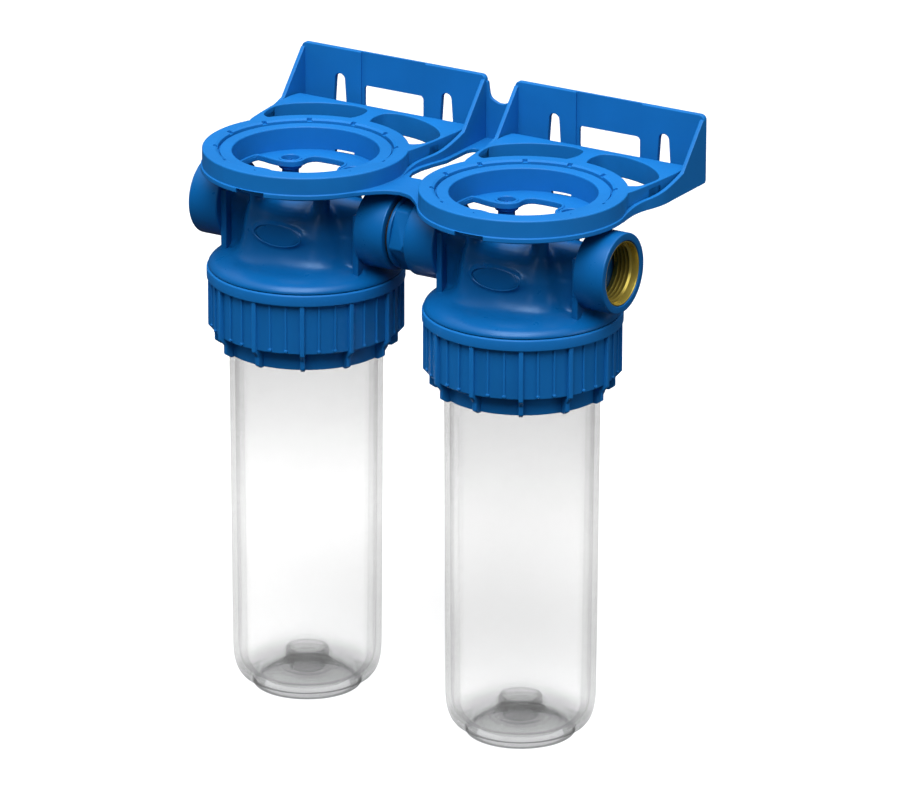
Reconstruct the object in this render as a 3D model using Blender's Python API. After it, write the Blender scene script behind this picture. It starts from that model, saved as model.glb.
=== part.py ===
"""Duplex water filter housing: two clear bowls under moulded heads, on one wall bracket.

The frame has X along the row of filters, Y towards the wall and Z up. Its origin is in the
plane of the bowls' feet, in the middle of the housing's box. All sizes are in metres.
Run it with Blender, from the text editor or with blender --background --python part.py.
"""

import math

import bmesh
import bpy
from mathutils import Matrix, Vector

# Faces round a full turn, and steps along the head's quarter curves
BODY_SEGMENTS = 24
RING_SEGMENTS = 30
BORE_SEGMENTS = 16
POST_SEGMENTS = 8
CORD_SEGMENTS = 6
THREAD_STEPS = 18
DOME_STEPS = 4
FLARE_STEPS = 3

# Clearances and the overrun of every cut
FIT = 0.0003
OVERRUN = 0.0010
SINK = 0.0006

# Bowl, from the foot up
BOWL_RADIUS = 0.0420
BOWL_WALL = 0.0030
BOWL_REACH = 0.1969
BOWL_DRAFT = 0.0011
FOOT_RADIUS = 0.0300
FOOT_RIM = 0.0040
FOOT_HEIGHT = 0.0043
BASE_THICKNESS = 0.0036
CORNER_RISE = 0.0177
SOCKET_RADIUS = 0.0119
SOCKET_WALL = 0.0026
SOCKET_HEIGHT = 0.0120
SPIGOT_STEP = 0.0019
SPIGOT_HEIGHT = 0.0158
FLANGE_THICKNESS = 0.0044
GROOVE_RISE = 0.0053
GROOVE_HEIGHT = 0.0036
GROOVE_DEPTH = 0.0031
SLIP_THICKNESS = 0.0014

# Collar nut and the thread that carries it
COLLAR_HEIGHT = 0.0453
COLLAR_WALL = 0.00215
COLLAR_PLAY = 0.0007
LEDGE_RISE = 0.0149
LOWER_SKIRT_WALL = 0.0023
LOWER_SKIRT_HEIGHT = 0.0110
BAND_HEIGHT = 0.0062
BAND_STEP = 0.0028
BAND_CHAMFER = 0.0010
MAIN_RIB_STEP = 0.0016
MAIN_RIB_WIDTH = 0.0027
MAIN_RIB_DROP = 0.0034
FIN_STEP = 0.0037
FIN_DROP = 0.0006
RIB_SECTORS = 12
THREAD_DEPTH = 0.00155
THREAD_PLAY = 0.0006
THREAD_PITCH = 0.0080
THREAD_TURNS = 1.0
THREAD_ROOT_WIDTH = 0.0032
THREAD_CREST_WIDTH = 0.0022
THREAD_RISE = 0.0050
THREAD_PHASE = math.radians(3)
NUT_CREST_PLAY = 0.0009

# Head
SKIRT_WALL = 0.0027
RIM_GAP = 0.0007
RIM_SETBACK = 0.0008
SHOULDER_RISE = 0.0063
SKIRT_HEADROOM = 0.0045
CREASE_RADIUS = 0.0410
NECK_RADIUS = 0.0285
HEAD_WALL = 0.0040
DOME_DROP = 0.0014
DOME_RISE = 0.0170
FLARE_DROP = 0.0064
BOSS_RADIUS = 0.0220
BOSS_UNDERGAP = 0.0012
BOSS_HEADROOM = 0.0026
BOSS_CLEARANCE = 0.0012
PORT_OVERHANG = 0.0049
PASSAGE_RADIUS = 0.0095
PASSAGE_WALL = 0.0032
WEB_WIDTH = 0.0346
WEB_THICKNESS = 0.0038
TUBE_RADIUS = 0.0130
TUBE_DROP = 0.0154
POST_SPACING_X = 0.0400
POST_SPACING_Y = 0.0320
POST_RADIUS = 0.00465
POST_FOOT_RADIUS = 0.0110
PILOT_DEPTH = 0.0130

# Brass port inserts, parallel pipe thread of nominal one inch
INSERT_RADIUS = 0.01755
INSERT_MINOR_RADIUS = 0.01515
INSERT_MOUTH_RADIUS = 0.0167
INSERT_MOUTH_DEPTH = 0.0035
INSERT_LENGTH = 0.0150
INSERT_SETBACK = 0.0004
INSERT_CHAMFER = 0.0006

# Nipple between the heads
JOINT_GAP = 0.0136
NIPPLE_RADIUS = 0.0148
NIPPLE_BORE = 0.0110
NIPPLE_REACH = 0.0140
HEX_ACROSS_FLATS = 0.0360
HEX_WIDTH = 0.0086
HEX_TURN = math.radians(40)
NIPPLE_FLANGE_RADIUS = 0.0202
NIPPLE_FLANGE_WIDTH = 0.0018
NIPPLE_SEAL_RADIUS = 0.0186
SEAL_WIDTH = 0.0014

# Vent valve on each head
VENT_OFFSET = 0.0240
VENT_BOSS_RADIUS = 0.0065
VENT_BOSS_RISE = 0.0148
VENT_WELL_DEPTH = 0.0030
VENT_WELL_RADIUS = 0.0048
VENT_CAP_RADIUS = 0.0042
VENT_CAP_HEIGHT = 0.0032
VENT_CAP_GAP = 0.0030
VENT_STEM_RADIUS = 0.0016
VENT_TIP_RADIUS = 0.0023
VENT_TIP_LENGTH = 0.0010
VENT_WASHER_RADIUS = 0.0034
VENT_WASHER_THICKNESS = 0.0008
VENT_SEAL_THICKNESS = 0.0010
VENT_SEAL_RADIUS = 0.0031
VENT_SEAL_GAP = 0.0010
SPRING_WIRE = 0.0005
SPRING_RADIUS = 0.0029
SPRING_TURNS = 3
SPRING_STEPS = 6

# Bracket: ring frames
RING_OVERHANG = 0.0020
RING_HEIGHT = 0.0124
RING_WALL = 0.0026
RING_TOP_THICKNESS = 0.0026
LIP_STEP = 0.0008
LIP_THICKNESS = 0.0027
LIP_NOTCH_WIDTH = 0.0176
STEP_SETBACK = 0.0084
STEP_DEPTH = 0.0018
OPENING_SETBACK = 0.0078
CUP_WALL = 0.0024
FLOOR_SINK = 0.0022
FLOOR_THICKNESS = 0.0030
LOBE_RADIUS = 0.0064
LOBE_DEPTH = 0.0050
SLIT_WIDTH = 0.0116
SLIT_HEIGHT = 0.0015

# Bracket: decks, back plates, side walls and web
WALL_DISTANCE = 0.0924
PLATE_THICKNESS = 0.0032
PLATE_HEIGHT = 0.0384
PLATE_OVERHANG = 0.0031
PLATE_CORNER = 0.0030
PLATE_PANEL = 0.0206
PLATE_PANEL_DEPTH = 0.0010
PLATE_WINDOW_WIDTH = 0.0380
PLATE_WINDOW_HEIGHT = 0.0131
PLATE_WINDOW_RISE = 0.0063
PLATE_WINDOW_CORNER = 0.0022
SLOT_SPACING = 0.0686
SLOT_RADIUS = 0.0031
SLOT_LENGTH = 0.0225
SLOT_RISE = 0.0055
KEYHOLE_RADIUS = 0.0042
DECK_GAP = 0.0102
DECK_WALL = 0.0022
DECK_CORNER = 0.0025
SIDE_WALL = 0.0023
SADDLE_DIP = 0.0115
WEB_ARCH = 0.0144

# Bracket screws
SCREW_HEAD_RADIUS = 0.0038
SCREW_HEAD_HEIGHT = 0.0020
SCREW_SHANK_RADIUS = 0.0019
SCREW_LENGTH = 0.0130
SCREW_TIP = 0.0015
SCREW_RECESS = 0.0011
COUNTERBORE_RADIUS = 0.0049

# Radii, from the bowl outwards
SPIGOT_RADIUS = BOWL_RADIUS + SPIGOT_STEP
SKIRT_BORE = SPIGOT_RADIUS + FIT
SKIRT_RADIUS = SKIRT_BORE + SKIRT_WALL
THREAD_CREST = SKIRT_RADIUS + THREAD_DEPTH
COLLAR_BORE = THREAD_CREST + THREAD_PLAY
FLUTE_RADIUS = COLLAR_BORE + COLLAR_WALL
BAND_RADIUS = FLUTE_RADIUS + BAND_STEP
FLANGE_RADIUS = COLLAR_BORE - FIT - FIT
LOWER_SKIRT_BORE = BOWL_RADIUS + COLLAR_PLAY
LOWER_SKIRT_RADIUS = LOWER_SKIRT_BORE + LOWER_SKIRT_WALL
RIM_RADIUS = BAND_RADIUS - RIM_SETBACK
RING_RADIUS = BAND_RADIUS + RING_OVERHANG
LIP_RADIUS = RING_RADIUS + LIP_STEP
STEP_RADIUS = RING_RADIUS - STEP_SETBACK
OPENING_RADIUS = STEP_RADIUS - OPENING_SETBACK
CUP_RADIUS = OPENING_RADIUS + CUP_WALL
SEAT_RADIUS = INSERT_RADIUS + FIT
GROOVE_RADIUS = SPIGOT_RADIUS - GROOVE_DEPTH

# Heights, from the feet upwards
LEDGE_TOP = BOWL_REACH + LEDGE_RISE
SLIP_BOTTOM = LEDGE_TOP + FIT
SLIP_TOP = SLIP_BOTTOM + SLIP_THICKNESS
FLANGE_BOTTOM = SLIP_TOP + FIT
FLANGE_TOP = FLANGE_BOTTOM + FLANGE_THICKNESS
GROOVE_BOTTOM = FLANGE_TOP + GROOVE_RISE
GROOVE_TOP = GROOVE_BOTTOM + GROOVE_HEIGHT
SPIGOT_TOP = FLANGE_TOP + SPIGOT_HEIGHT
SKIRT_BOTTOM = FLANGE_TOP + FIT
SKIRT_CEILING = SPIGOT_TOP + SKIRT_HEADROOM
COLLAR_TOP = BOWL_REACH + COLLAR_HEIGHT
RIM_BOTTOM = COLLAR_TOP + RIM_GAP
CREASE_HEIGHT = RIM_BOTTOM + SHOULDER_RISE
PORT_HEIGHT = CREASE_HEIGHT + BOSS_UNDERGAP + BOSS_RADIUS
DOME_BASE = PORT_HEIGHT - DOME_DROP
DOME_TOP = DOME_BASE + DOME_RISE
FLARE_TOP = PORT_HEIGHT - FLARE_DROP
TUBE_BOTTOM = PORT_HEIGHT - TUBE_DROP
BRACKET_BASE = PORT_HEIGHT + BOSS_RADIUS + BOSS_HEADROOM
LIP_TOP = BRACKET_BASE + LIP_THICKNESS
RING_TOP = BRACKET_BASE + RING_HEIGHT
PLATE_TOP = BRACKET_BASE + PLATE_HEIGHT
FLOOR_TOP = BRACKET_BASE - FLOOR_SINK
FLOOR_BOTTOM = FLOOR_TOP - FLOOR_THICKNESS
LOBE_BOTTOM = FLOOR_TOP - LOBE_DEPTH
POST_TOP = LOBE_BOTTOM - FIT
SCREW_TOP = FLOOR_TOP - SCREW_RECESS
SCREW_SEAT = SCREW_TOP - SCREW_HEAD_HEIGHT
VENT_BOSS_TOP = PORT_HEIGHT + VENT_BOSS_RISE
VENT_WELL_FLOOR = VENT_BOSS_TOP - VENT_WELL_DEPTH
VENT_CAP_BOTTOM = VENT_WELL_FLOOR + VENT_CAP_GAP

# Places along the row and towards the wall
PORT_REACH = LIP_RADIUS + PORT_OVERHANG
BOSS_START = CUP_RADIUS + BOSS_CLEARANCE
INSERT_FACE = PORT_REACH - INSERT_SETBACK
INSERT_BACK = INSERT_FACE - INSERT_LENGTH
UNIT_PITCH = PORT_REACH + PORT_REACH + JOINT_GAP
HALF_PITCH = UNIT_PITCH / 2
LIP_FRONT = math.sqrt(LIP_RADIUS ** 2 - (LIP_NOTCH_WIDTH / 2) ** 2)
AXIS_Y = (LIP_FRONT - WALL_DISTANCE) / 2
PLATE_HALF = RING_RADIUS + PLATE_OVERHANG
DECK_REAR = WALL_DISTANCE - PLATE_THICKNESS - DECK_GAP
UNITS = (("left", -HALF_PITCH), ("right", HALF_PITCH))

# Outline shares
# Opening in the ring's floor, one quarter, as shares of the opening's radius
FLOOR_QUARTER_SHARES = (
    (0.960, 0.200), (0.870, 0.236), (0.720, 0.205), (0.560, 0.186), (0.440, 0.202),
    (0.340, 0.260), (0.290, 0.360), (0.284, 0.510), (0.225, 0.600), (0.100, 0.624),
)
# Deck window beside the ring, outer edge, as shares of half the deck's width and of its rear
WINDOW_SHARES = (
    (0.860, 0.428), (0.925, 0.475), (0.960, 0.585), (0.945, 0.685),
    (0.835, 0.785), (0.670, 0.870), (0.510, 0.918), (0.345, 0.945), (0.205, 0.945),
    (0.105, 0.910), (0.074, 0.820), (0.090, 0.745),
)
WINDOW_ARC = (math.radians(83), math.radians(37))
WINDOW_ARC_STEPS = 6
# Deck's side edge, as shares of half the deck's width and of its rear
DECK_SIDE_SHARES = (
    (1.022, 0.880), (1.008, 0.700), (0.982, 0.505), (0.955, 0.355), (0.925, 0.275),
)
# Side wall's plan and top edge: shares of half the plate's width, of the distance to the
# wall, and of the rise from the lip's top to the plate's top
SIDE_WALL_SHARES = (
    (1.000, 0.990, 0.930), (1.000, 0.958, 0.930), (1.000, 0.735, 0.262), (1.000, 0.640, 0.196),
    (1.000, 0.520, 0.140), (0.976, 0.435, 0.105), (0.938, 0.350, 0.082), (0.922, 0.275, 0.062),
    (0.927, 0.190, 0.034), (0.946, 0.105, 0.006),
)
# Opening in the web, right half: shares of the gap's half width and of the wall's distance
WEB_HOLE_SHARES = (
    (0.000, 0.095), (0.980, 0.105), (1.270, 0.200), (1.250, 0.300), (1.040, 0.400),
    (0.760, 0.500), (0.740, 0.720), (0.560, 0.765), (0.000, 0.772),
)
# Front arch of the web, right half: shares of the pitch
WEB_ARCH_SHARES = ((0.000, 0.000), (0.051, 0.016), (0.095, 0.052), (0.134, 0.094), (0.166, 0.138))
WEB_FLANK_ANGLES = (math.radians(-147), math.radians(-163), math.radians(180), math.radians(163))
# Saddle between the plates, right half: shares of the gap's half width and of the dip
SADDLE_SHARES = ((0.90, 0.00), (0.76, 0.66), (0.54, 0.86), (0.15, 1.00))
# Shoulder of the head: shares of the way from crease to rim, and of the shoulder's rise
SHOULDER_SHARES = ((0.00, 1.00), (0.60, 0.72), (0.92, 0.34), (1.00, 0.00))
# Foot of a screw post: shares of its spread, and of the way up to the dome's base
POST_FOOT_SHARES = ((1.00, 0.00), (0.40, 0.34), (0.10, 0.75))
# Inside of the dome: shares of a quarter turn
DOME_SHARES = (0.5, 0.8)
# Lower corner of the bowl: shares of the way out from the foot, and of the corner's rise
CORNER_SHARES = ((0.40, 0.05), (0.76, 0.27), (0.94, 0.62), (1.00, 1.00))

# Colours and finish: red, green, blue, roughness, metallic
FINISHES = {
    "blue_polypropylene": (0.010, 0.115, 0.520, 0.38, 0.0),
    "clear_styrene": (0.900, 0.920, 0.930, 0.06, 0.0),
    "brass": (0.620, 0.460, 0.160, 0.28, 1.0),
    "nitrile_rubber": (0.020, 0.020, 0.022, 0.70, 0.0),
    "white_acetal": (0.800, 0.800, 0.780, 0.40, 0.0),
    "red_polypropylene": (0.700, 0.030, 0.030, 0.36, 0.0),
    "spring_steel": (0.560, 0.570, 0.580, 0.26, 1.0),
    "coated_steel": (0.050, 0.260, 0.550, 0.34, 0.0),
}


def clear_scene():
    """Remove every object that the opened file brought along."""
    for item in list(bpy.data.objects):
        bpy.data.objects.remove(item, do_unlink=True)


def finish(slot):
    """Give the material of that name, made on first use."""
    material = bpy.data.materials.get(slot)
    if material is None:
        red, green, blue, roughness, metallic = FINISHES[slot]
        material = bpy.data.materials.new(slot)
        material.use_nodes = True
        shader = material.node_tree.nodes["Principled BSDF"]
        shader.inputs["Base Color"].default_value = (red, green, blue, 1.0)
        shader.inputs["Roughness"].default_value = roughness
        shader.inputs["Metallic"].default_value = metallic
        if slot == "clear_styrene":
            shader.inputs["Transmission Weight"].default_value = 1.0
    return material


def object_from(name, shape, slot=None):
    """Turn a bmesh into a linked object with outward faces, smooth where it is round."""
    bmesh.ops.recalc_face_normals(shape, faces=shape.faces[:])
    mesh = bpy.data.meshes.new(name)
    shape.to_mesh(mesh)
    shape.free()
    item = bpy.data.objects.new(name, mesh)
    bpy.context.collection.objects.link(item)
    if slot:
        mesh.materials.append(finish(slot))
        mesh.shade_smooth()
        mesh.set_sharp_from_angle(angle=math.radians(35))
    return item


def turned(name, profile, segments, slot=None, axis="Z", centre=(0, 0, 0)):
    """Spin a profile of (radius, height) points; ends off the axis are joined to a ring."""
    shape = bmesh.new()
    loops = []
    for radius, height in profile:
        if radius == 0:
            loops.append([shape.verts.new((0, 0, height))])
            continue
        loop = []
        for index in range(segments):
            angle = math.tau * (index + 0.5) / segments
            loop.append(shape.verts.new((radius * math.cos(angle), radius * math.sin(angle), height)))
        loops.append(loop)
    if profile[0][0] == 0 and profile[-1][0] == 0:
        pairs = zip(loops[:-1], loops[1:])
    else:
        pairs = zip(loops, loops[1:] + loops[:1])
    for lower, upper in pairs:
        for index in range(segments):
            after = (index + 1) % segments
            corners = [lower[index % len(lower)], lower[after % len(lower)],
                       upper[after % len(upper)], upper[index % len(upper)]]
            shape.faces.new(list(dict.fromkeys(corners)))
    if axis == "X":
        bmesh.ops.transform(shape, matrix=Matrix.Rotation(math.pi / 2, 4, "Y"), verts=shape.verts[:])
    bmesh.ops.translate(shape, vec=Vector(centre), verts=shape.verts[:])
    return object_from(name, shape, slot)


def rod(name, radius, start, end, segments, axis="Z", centre=(0, 0, 0), slot=None):
    """A plain cylinder between two stations on its axis."""
    profile = ((0, start), (radius, start), (radius, end), (0, end))
    return turned(name, profile, segments, slot, axis, centre)


def prism(name, outline, low, high, plane="XY", slot=None):
    """Extrude an outline between two levels; in plane XZ the levels run along Y."""
    shape = bmesh.new()
    rings = []
    for level in (low, high):
        if plane == "XY":
            rings.append([shape.verts.new((u, v, level)) for u, v in outline])
        else:
            rings.append([shape.verts.new((u, level, v)) for u, v in outline])
    shape.faces.new(rings[0])
    shape.faces.new(rings[1])
    count = len(outline)
    for index in range(count):
        after = (index + 1) % count
        shape.faces.new((rings[0][index], rings[0][after], rings[1][after], rings[1][index]))
    return object_from(name, shape, slot)


def block(name, low, high, slot=None):
    """A box between two corners."""
    outline = ((low[0], low[1]), (high[0], low[1]), (high[0], high[1]), (low[0], high[1]))
    return prism(name, outline, low[2], high[2], slot=slot)


def lofted(name, sections, slot=None):
    """Join closed sections of equal length into one capped body."""
    shape = bmesh.new()
    rings = [[shape.verts.new(point) for point in section] for section in sections]
    for lower, upper in zip(rings[:-1], rings[1:]):
        for index in range(len(lower)):
            after = (index + 1) % len(lower)
            shape.faces.new((lower[index], lower[after], upper[after], upper[index]))
    shape.faces.new(rings[0])
    shape.faces.new(rings[-1])
    return object_from(name, shape, slot)


def helix_ridge(name, root, crest, root_width, crest_width, start, turns):
    """A thread ridge of trapezoid section that climbs counter-clockwise, seen from above."""
    sections = []
    steps = round(turns * THREAD_STEPS)
    for step in range(steps + 1):
        angle = math.tau * step / THREAD_STEPS + THREAD_PHASE
        level = start + THREAD_PITCH * step / THREAD_STEPS
        across = Vector((math.cos(angle), math.sin(angle), 0))
        up = Vector((0, 0, 1))
        sections.append((
            across * root + up * (level - root_width / 2),
            across * crest + up * (level - crest_width / 2),
            across * crest + up * (level + crest_width / 2),
            across * root + up * (level + root_width / 2),
        ))
    return lofted(name, sections)


def combine(item, operands, operation):
    """Carry out one exact Boolean with every operand at once, then remove the operands."""
    group = bpy.data.collections.new("operands")
    for operand in operands:
        group.objects.link(operand)
    modifier = item.modifiers.new(operation.lower(), "BOOLEAN")
    modifier.operation = operation
    modifier.solver = "EXACT"
    modifier.operand_type = "COLLECTION"
    modifier.collection = group
    bpy.context.view_layer.update()
    result = item.evaluated_get(bpy.context.evaluated_depsgraph_get())
    mesh = bpy.data.meshes.new_from_object(result)
    mesh.name = item.name
    item.modifiers.clear()
    item.data = mesh
    for operand in operands:
        bpy.data.objects.remove(operand, do_unlink=True)
    bpy.data.collections.remove(group)
    return item


def fuse(item, *operands):
    """Unite the operands with the item."""
    return combine(item, operands, "UNION")


def cut(item, *operands):
    """Cut the operands from the item."""
    return combine(item, operands, "DIFFERENCE")


def moved(item, offset):
    """Shift a shape's mesh, so that its own origin stays put."""
    item.data.transform(Matrix.Translation(Vector(offset)))
    return item


def finished(item, slot):
    """Give a combined shape its material and shading."""
    item.data.materials.clear()
    item.data.materials.append(finish(slot))
    item.data.shade_smooth()
    item.data.set_sharp_from_angle(angle=math.radians(35))
    return item


def arc(centre, radius, start, end, steps):
    """Points along an arc, both ends included."""
    points = []
    for step in range(steps + 1):
        angle = start + (end - start) * step / steps
        points.append((centre[0] + radius * math.cos(angle), centre[1] + radius * math.sin(angle)))
    return points


def rounded_box(width_low, width_high, low, high, radius):
    """Outline of a rectangle with round corners."""
    outline = []
    corners = ((width_high, high, 0), (width_low, high, 1), (width_low, low, 2), (width_high, low, 3))
    for side, level, quarter in corners:
        inward_side = radius if side == width_low else -radius
        inward_level = radius if level == low else -radius
        start = quarter * math.pi / 2
        outline += arc((side + inward_side, level + inward_level), radius, start, start + math.pi / 2, 2)
    return outline


def mirrored(points):
    """The points, then their mirror images across the first coordinate's zero, in reverse."""
    return list(points) + [(-u, v) for u, v in reversed(points)]


def grown(points, distance):
    """Move each point of a counter-clockwise outline outwards by a distance."""
    result = []
    count = len(points)
    for index in range(count):
        here = Vector(points[index])
        back = here - Vector(points[index - 1])
        ahead = Vector(points[(index + 1) % count]) - here
        first = Vector((back.y, -back.x)).normalized()
        second = Vector((ahead.y, -ahead.x)).normalized()
        normal = (first + second).normalized()
        result.append(tuple(here + normal * distance / normal.dot(first)))
    return result


def place(item, x):
    """Put a piece of one unit on that unit's axis."""
    item.location = (x, AXIS_Y, 0)
    return item


def bowl_mesh():
    """Clear bowl: foot, drafted wall, flange, spigot with O-ring groove, and cartridge socket."""
    low_radius = BOWL_RADIUS - BOWL_DRAFT
    floor = FOOT_HEIGHT + BASE_THICKNESS
    inner = BOWL_RADIUS - BOWL_WALL
    inner_low = low_radius - BOWL_WALL
    socket_bore = SOCKET_RADIUS - SOCKET_WALL
    socket_top = floor + SOCKET_HEIGHT
    profile = [(0, FOOT_HEIGHT), (FOOT_RADIUS - FOOT_RIM, FOOT_HEIGHT)]
    profile += [(FOOT_RADIUS - FOOT_RIM, 0), (FOOT_RADIUS, 0), (FOOT_RADIUS, FOOT_HEIGHT)]
    for out_share, up_share in CORNER_SHARES:
        radius = FOOT_RADIUS + (low_radius - FOOT_RADIUS) * out_share
        profile.append((radius, FOOT_HEIGHT + CORNER_RISE * up_share))
    profile += [(BOWL_RADIUS, BOWL_REACH), (BOWL_RADIUS, FLANGE_BOTTOM)]
    profile += [(FLANGE_RADIUS, FLANGE_BOTTOM), (FLANGE_RADIUS, FLANGE_TOP)]
    profile += [(SPIGOT_RADIUS, FLANGE_TOP), (SPIGOT_RADIUS, GROOVE_BOTTOM)]
    profile += [(GROOVE_RADIUS, GROOVE_BOTTOM), (GROOVE_RADIUS, GROOVE_TOP)]
    profile += [(SPIGOT_RADIUS, GROOVE_TOP), (SPIGOT_RADIUS, SPIGOT_TOP)]
    profile += [(inner, SPIGOT_TOP), (inner, BOWL_REACH)]
    for out_share, up_share in reversed(CORNER_SHARES[1:]):
        radius = SOCKET_RADIUS + (inner_low - SOCKET_RADIUS) * out_share
        profile.append((radius, floor + (CORNER_RISE - BASE_THICKNESS) * up_share))
    profile += [(FOOT_RADIUS - BOWL_WALL, floor)]
    profile += [(SOCKET_RADIUS, floor)]
    profile += [(SOCKET_RADIUS, socket_top), (socket_bore, socket_top), (socket_bore, floor)]
    profile += [(0, floor)]
    return turned("bowl", profile, BODY_SEGMENTS, "clear_styrene")


def oring_mesh():
    """O-ring in the spigot's groove, just clear of the groove and of the head's skirt."""
    cord = (GROOVE_DEPTH - FIT) / 2
    centre = GROOVE_RADIUS + FIT + cord - FIT / 2
    level = (GROOVE_BOTTOM + GROOVE_TOP) / 2
    profile = []
    for step in range(CORD_SEGMENTS):
        angle = -math.tau * step / CORD_SEGMENTS
        profile.append((centre + cord * math.cos(angle), level + cord * math.sin(angle)))
    return turned("bowl_oring", profile, BODY_SEGMENTS, "nitrile_rubber")


def slip_ring_mesh():
    """Flat ring that lets the collar turn under the bowl's flange."""
    inside = LOWER_SKIRT_BORE + FIT
    outside = FLANGE_RADIUS - FIT
    profile = ((outside, SLIP_TOP), (outside, SLIP_BOTTOM), (inside, SLIP_BOTTOM), (inside, SLIP_TOP))
    return turned("slip_ring", profile, BODY_SEGMENTS, "white_acetal")


def collar_rib(angle, grip_bottom, band_bottom):
    """One upright rib of the grip, stepping in to the fin that runs down the lower skirt."""
    inner = LOWER_SKIRT_RADIUS - SINK
    fin = LOWER_SKIRT_RADIUS + FIN_STEP
    outer = FLUTE_RADIUS + MAIN_RIB_STEP
    shoulder = grip_bottom - MAIN_RIB_DROP
    outline = ((inner, BOWL_REACH - FIN_DROP), (fin, BOWL_REACH - FIN_DROP), (fin, shoulder),
               (outer, shoulder), (outer, band_bottom), (FLUTE_RADIUS - SINK, band_bottom),
               (FLUTE_RADIUS - SINK, grip_bottom + OVERRUN), (inner, grip_bottom + OVERRUN))
    item = prism("rib", outline, -MAIN_RIB_WIDTH / 2, MAIN_RIB_WIDTH / 2, "XZ")
    item.data.transform(Matrix.Rotation(angle, 4, "Z"))
    return item


def collar_mesh():
    """Collar nut: plain band, ribbed grip, recessed lower skirt with fins, ledge and thread."""
    band_bottom = COLLAR_TOP - BAND_HEIGHT
    grip_bottom = BOWL_REACH + LOWER_SKIRT_HEIGHT
    profile = [(BAND_RADIUS - BAND_CHAMFER, COLLAR_TOP), (BAND_RADIUS, COLLAR_TOP - BAND_CHAMFER)]
    profile += [(BAND_RADIUS, band_bottom), (FLUTE_RADIUS, band_bottom - SINK)]
    profile += [(FLUTE_RADIUS, grip_bottom), (LOWER_SKIRT_RADIUS, grip_bottom - SINK)]
    profile += [(LOWER_SKIRT_RADIUS, BOWL_REACH), (LOWER_SKIRT_BORE, BOWL_REACH)]
    profile += [(LOWER_SKIRT_BORE, LEDGE_TOP), (COLLAR_BORE, LEDGE_TOP)]
    profile += [(COLLAR_BORE, COLLAR_TOP - BAND_CHAMFER), (COLLAR_BORE + BAND_CHAMFER, COLLAR_TOP)]
    collar = turned("collar", profile, BODY_SEGMENTS)
    ribs = [collar_rib(math.tau * sector / RIB_SECTORS, grip_bottom, band_bottom)
            for sector in range(RIB_SECTORS)]
    ridge = helix_ridge("nut_thread", COLLAR_BORE + OVERRUN, SKIRT_RADIUS + NUT_CREST_PLAY,
                        THREAD_ROOT_WIDTH, THREAD_CREST_WIDTH,
                        SKIRT_BOTTOM + THREAD_RISE + THREAD_PITCH / 2, THREAD_TURNS)
    fuse(collar, *ribs, ridge)
    return finished(collar, "blue_polypropylene")


def head_shell():
    """Turned outside of the head, closed underneath, without ports."""
    profile = [(0, DOME_TOP)]
    for step in range(1, DOME_STEPS + 1):
        angle = math.pi / 2 * step / DOME_STEPS
        profile.append((NECK_RADIUS * math.sin(angle), DOME_BASE + DOME_RISE * math.cos(angle)))
    for step in range(FLARE_STEPS):
        angle = math.pi / 2 * step / FLARE_STEPS
        radius = NECK_RADIUS + (CREASE_RADIUS - NECK_RADIUS) * (1 - math.cos(angle))
        profile.append((radius, FLARE_TOP - (FLARE_TOP - CREASE_HEIGHT) * math.sin(angle)))
    for out_share, up_share in SHOULDER_SHARES:
        radius = CREASE_RADIUS + (RIM_RADIUS - CREASE_RADIUS) * out_share
        profile.append((radius, RIM_BOTTOM + SHOULDER_RISE * up_share))
    profile += [(SKIRT_RADIUS, RIM_BOTTOM), (SKIRT_RADIUS, SKIRT_BOTTOM), (0, SKIRT_BOTTOM)]
    return turned("head", profile, BODY_SEGMENTS)


def head_cavity():
    """Space under the head that takes the bowl's spigot and the cartridge's top."""
    inner_neck = NECK_RADIUS - HEAD_WALL
    inner_crease = CREASE_RADIUS - HEAD_WALL
    profile = [(0, SKIRT_BOTTOM - OVERRUN), (SKIRT_BORE, SKIRT_BOTTOM - OVERRUN)]
    profile += [(SKIRT_BORE, SKIRT_CEILING), (inner_crease, CREASE_HEIGHT - HEAD_WALL)]
    profile += [(inner_neck, FLARE_TOP - HEAD_WALL), (inner_neck, DOME_BASE)]
    for share in DOME_SHARES:
        angle = math.pi / 2 * share
        rise = (DOME_RISE - HEAD_WALL) * math.sin(angle)
        profile.append((inner_neck * math.cos(angle), DOME_BASE + rise))
    profile += [(0, DOME_TOP - HEAD_WALL)]
    return turned("head_cavity", profile, BODY_SEGMENTS)


def post_places():
    """Centres of the four screw posts about a unit's axis."""
    half_x = POST_SPACING_X / 2
    half_y = POST_SPACING_Y / 2
    return [(x, y) for x in (-half_x, half_x) for y in (-half_y, half_y)]


def screw_post(centre):
    """Post that stands on the flare with a spreading foot and carries one bracket screw."""
    foot = CREASE_HEIGHT + SINK
    profile = [(0, foot)]
    for out_share, up_share in POST_FOOT_SHARES:
        radius = POST_RADIUS + (POST_FOOT_RADIUS - POST_RADIUS) * out_share
        profile.append((radius, foot + (DOME_BASE - foot) * up_share))
    profile += [(POST_RADIUS, POST_TOP), (0, POST_TOP)]
    return turned("post", profile, POST_SEGMENTS, centre=centre)


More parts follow.
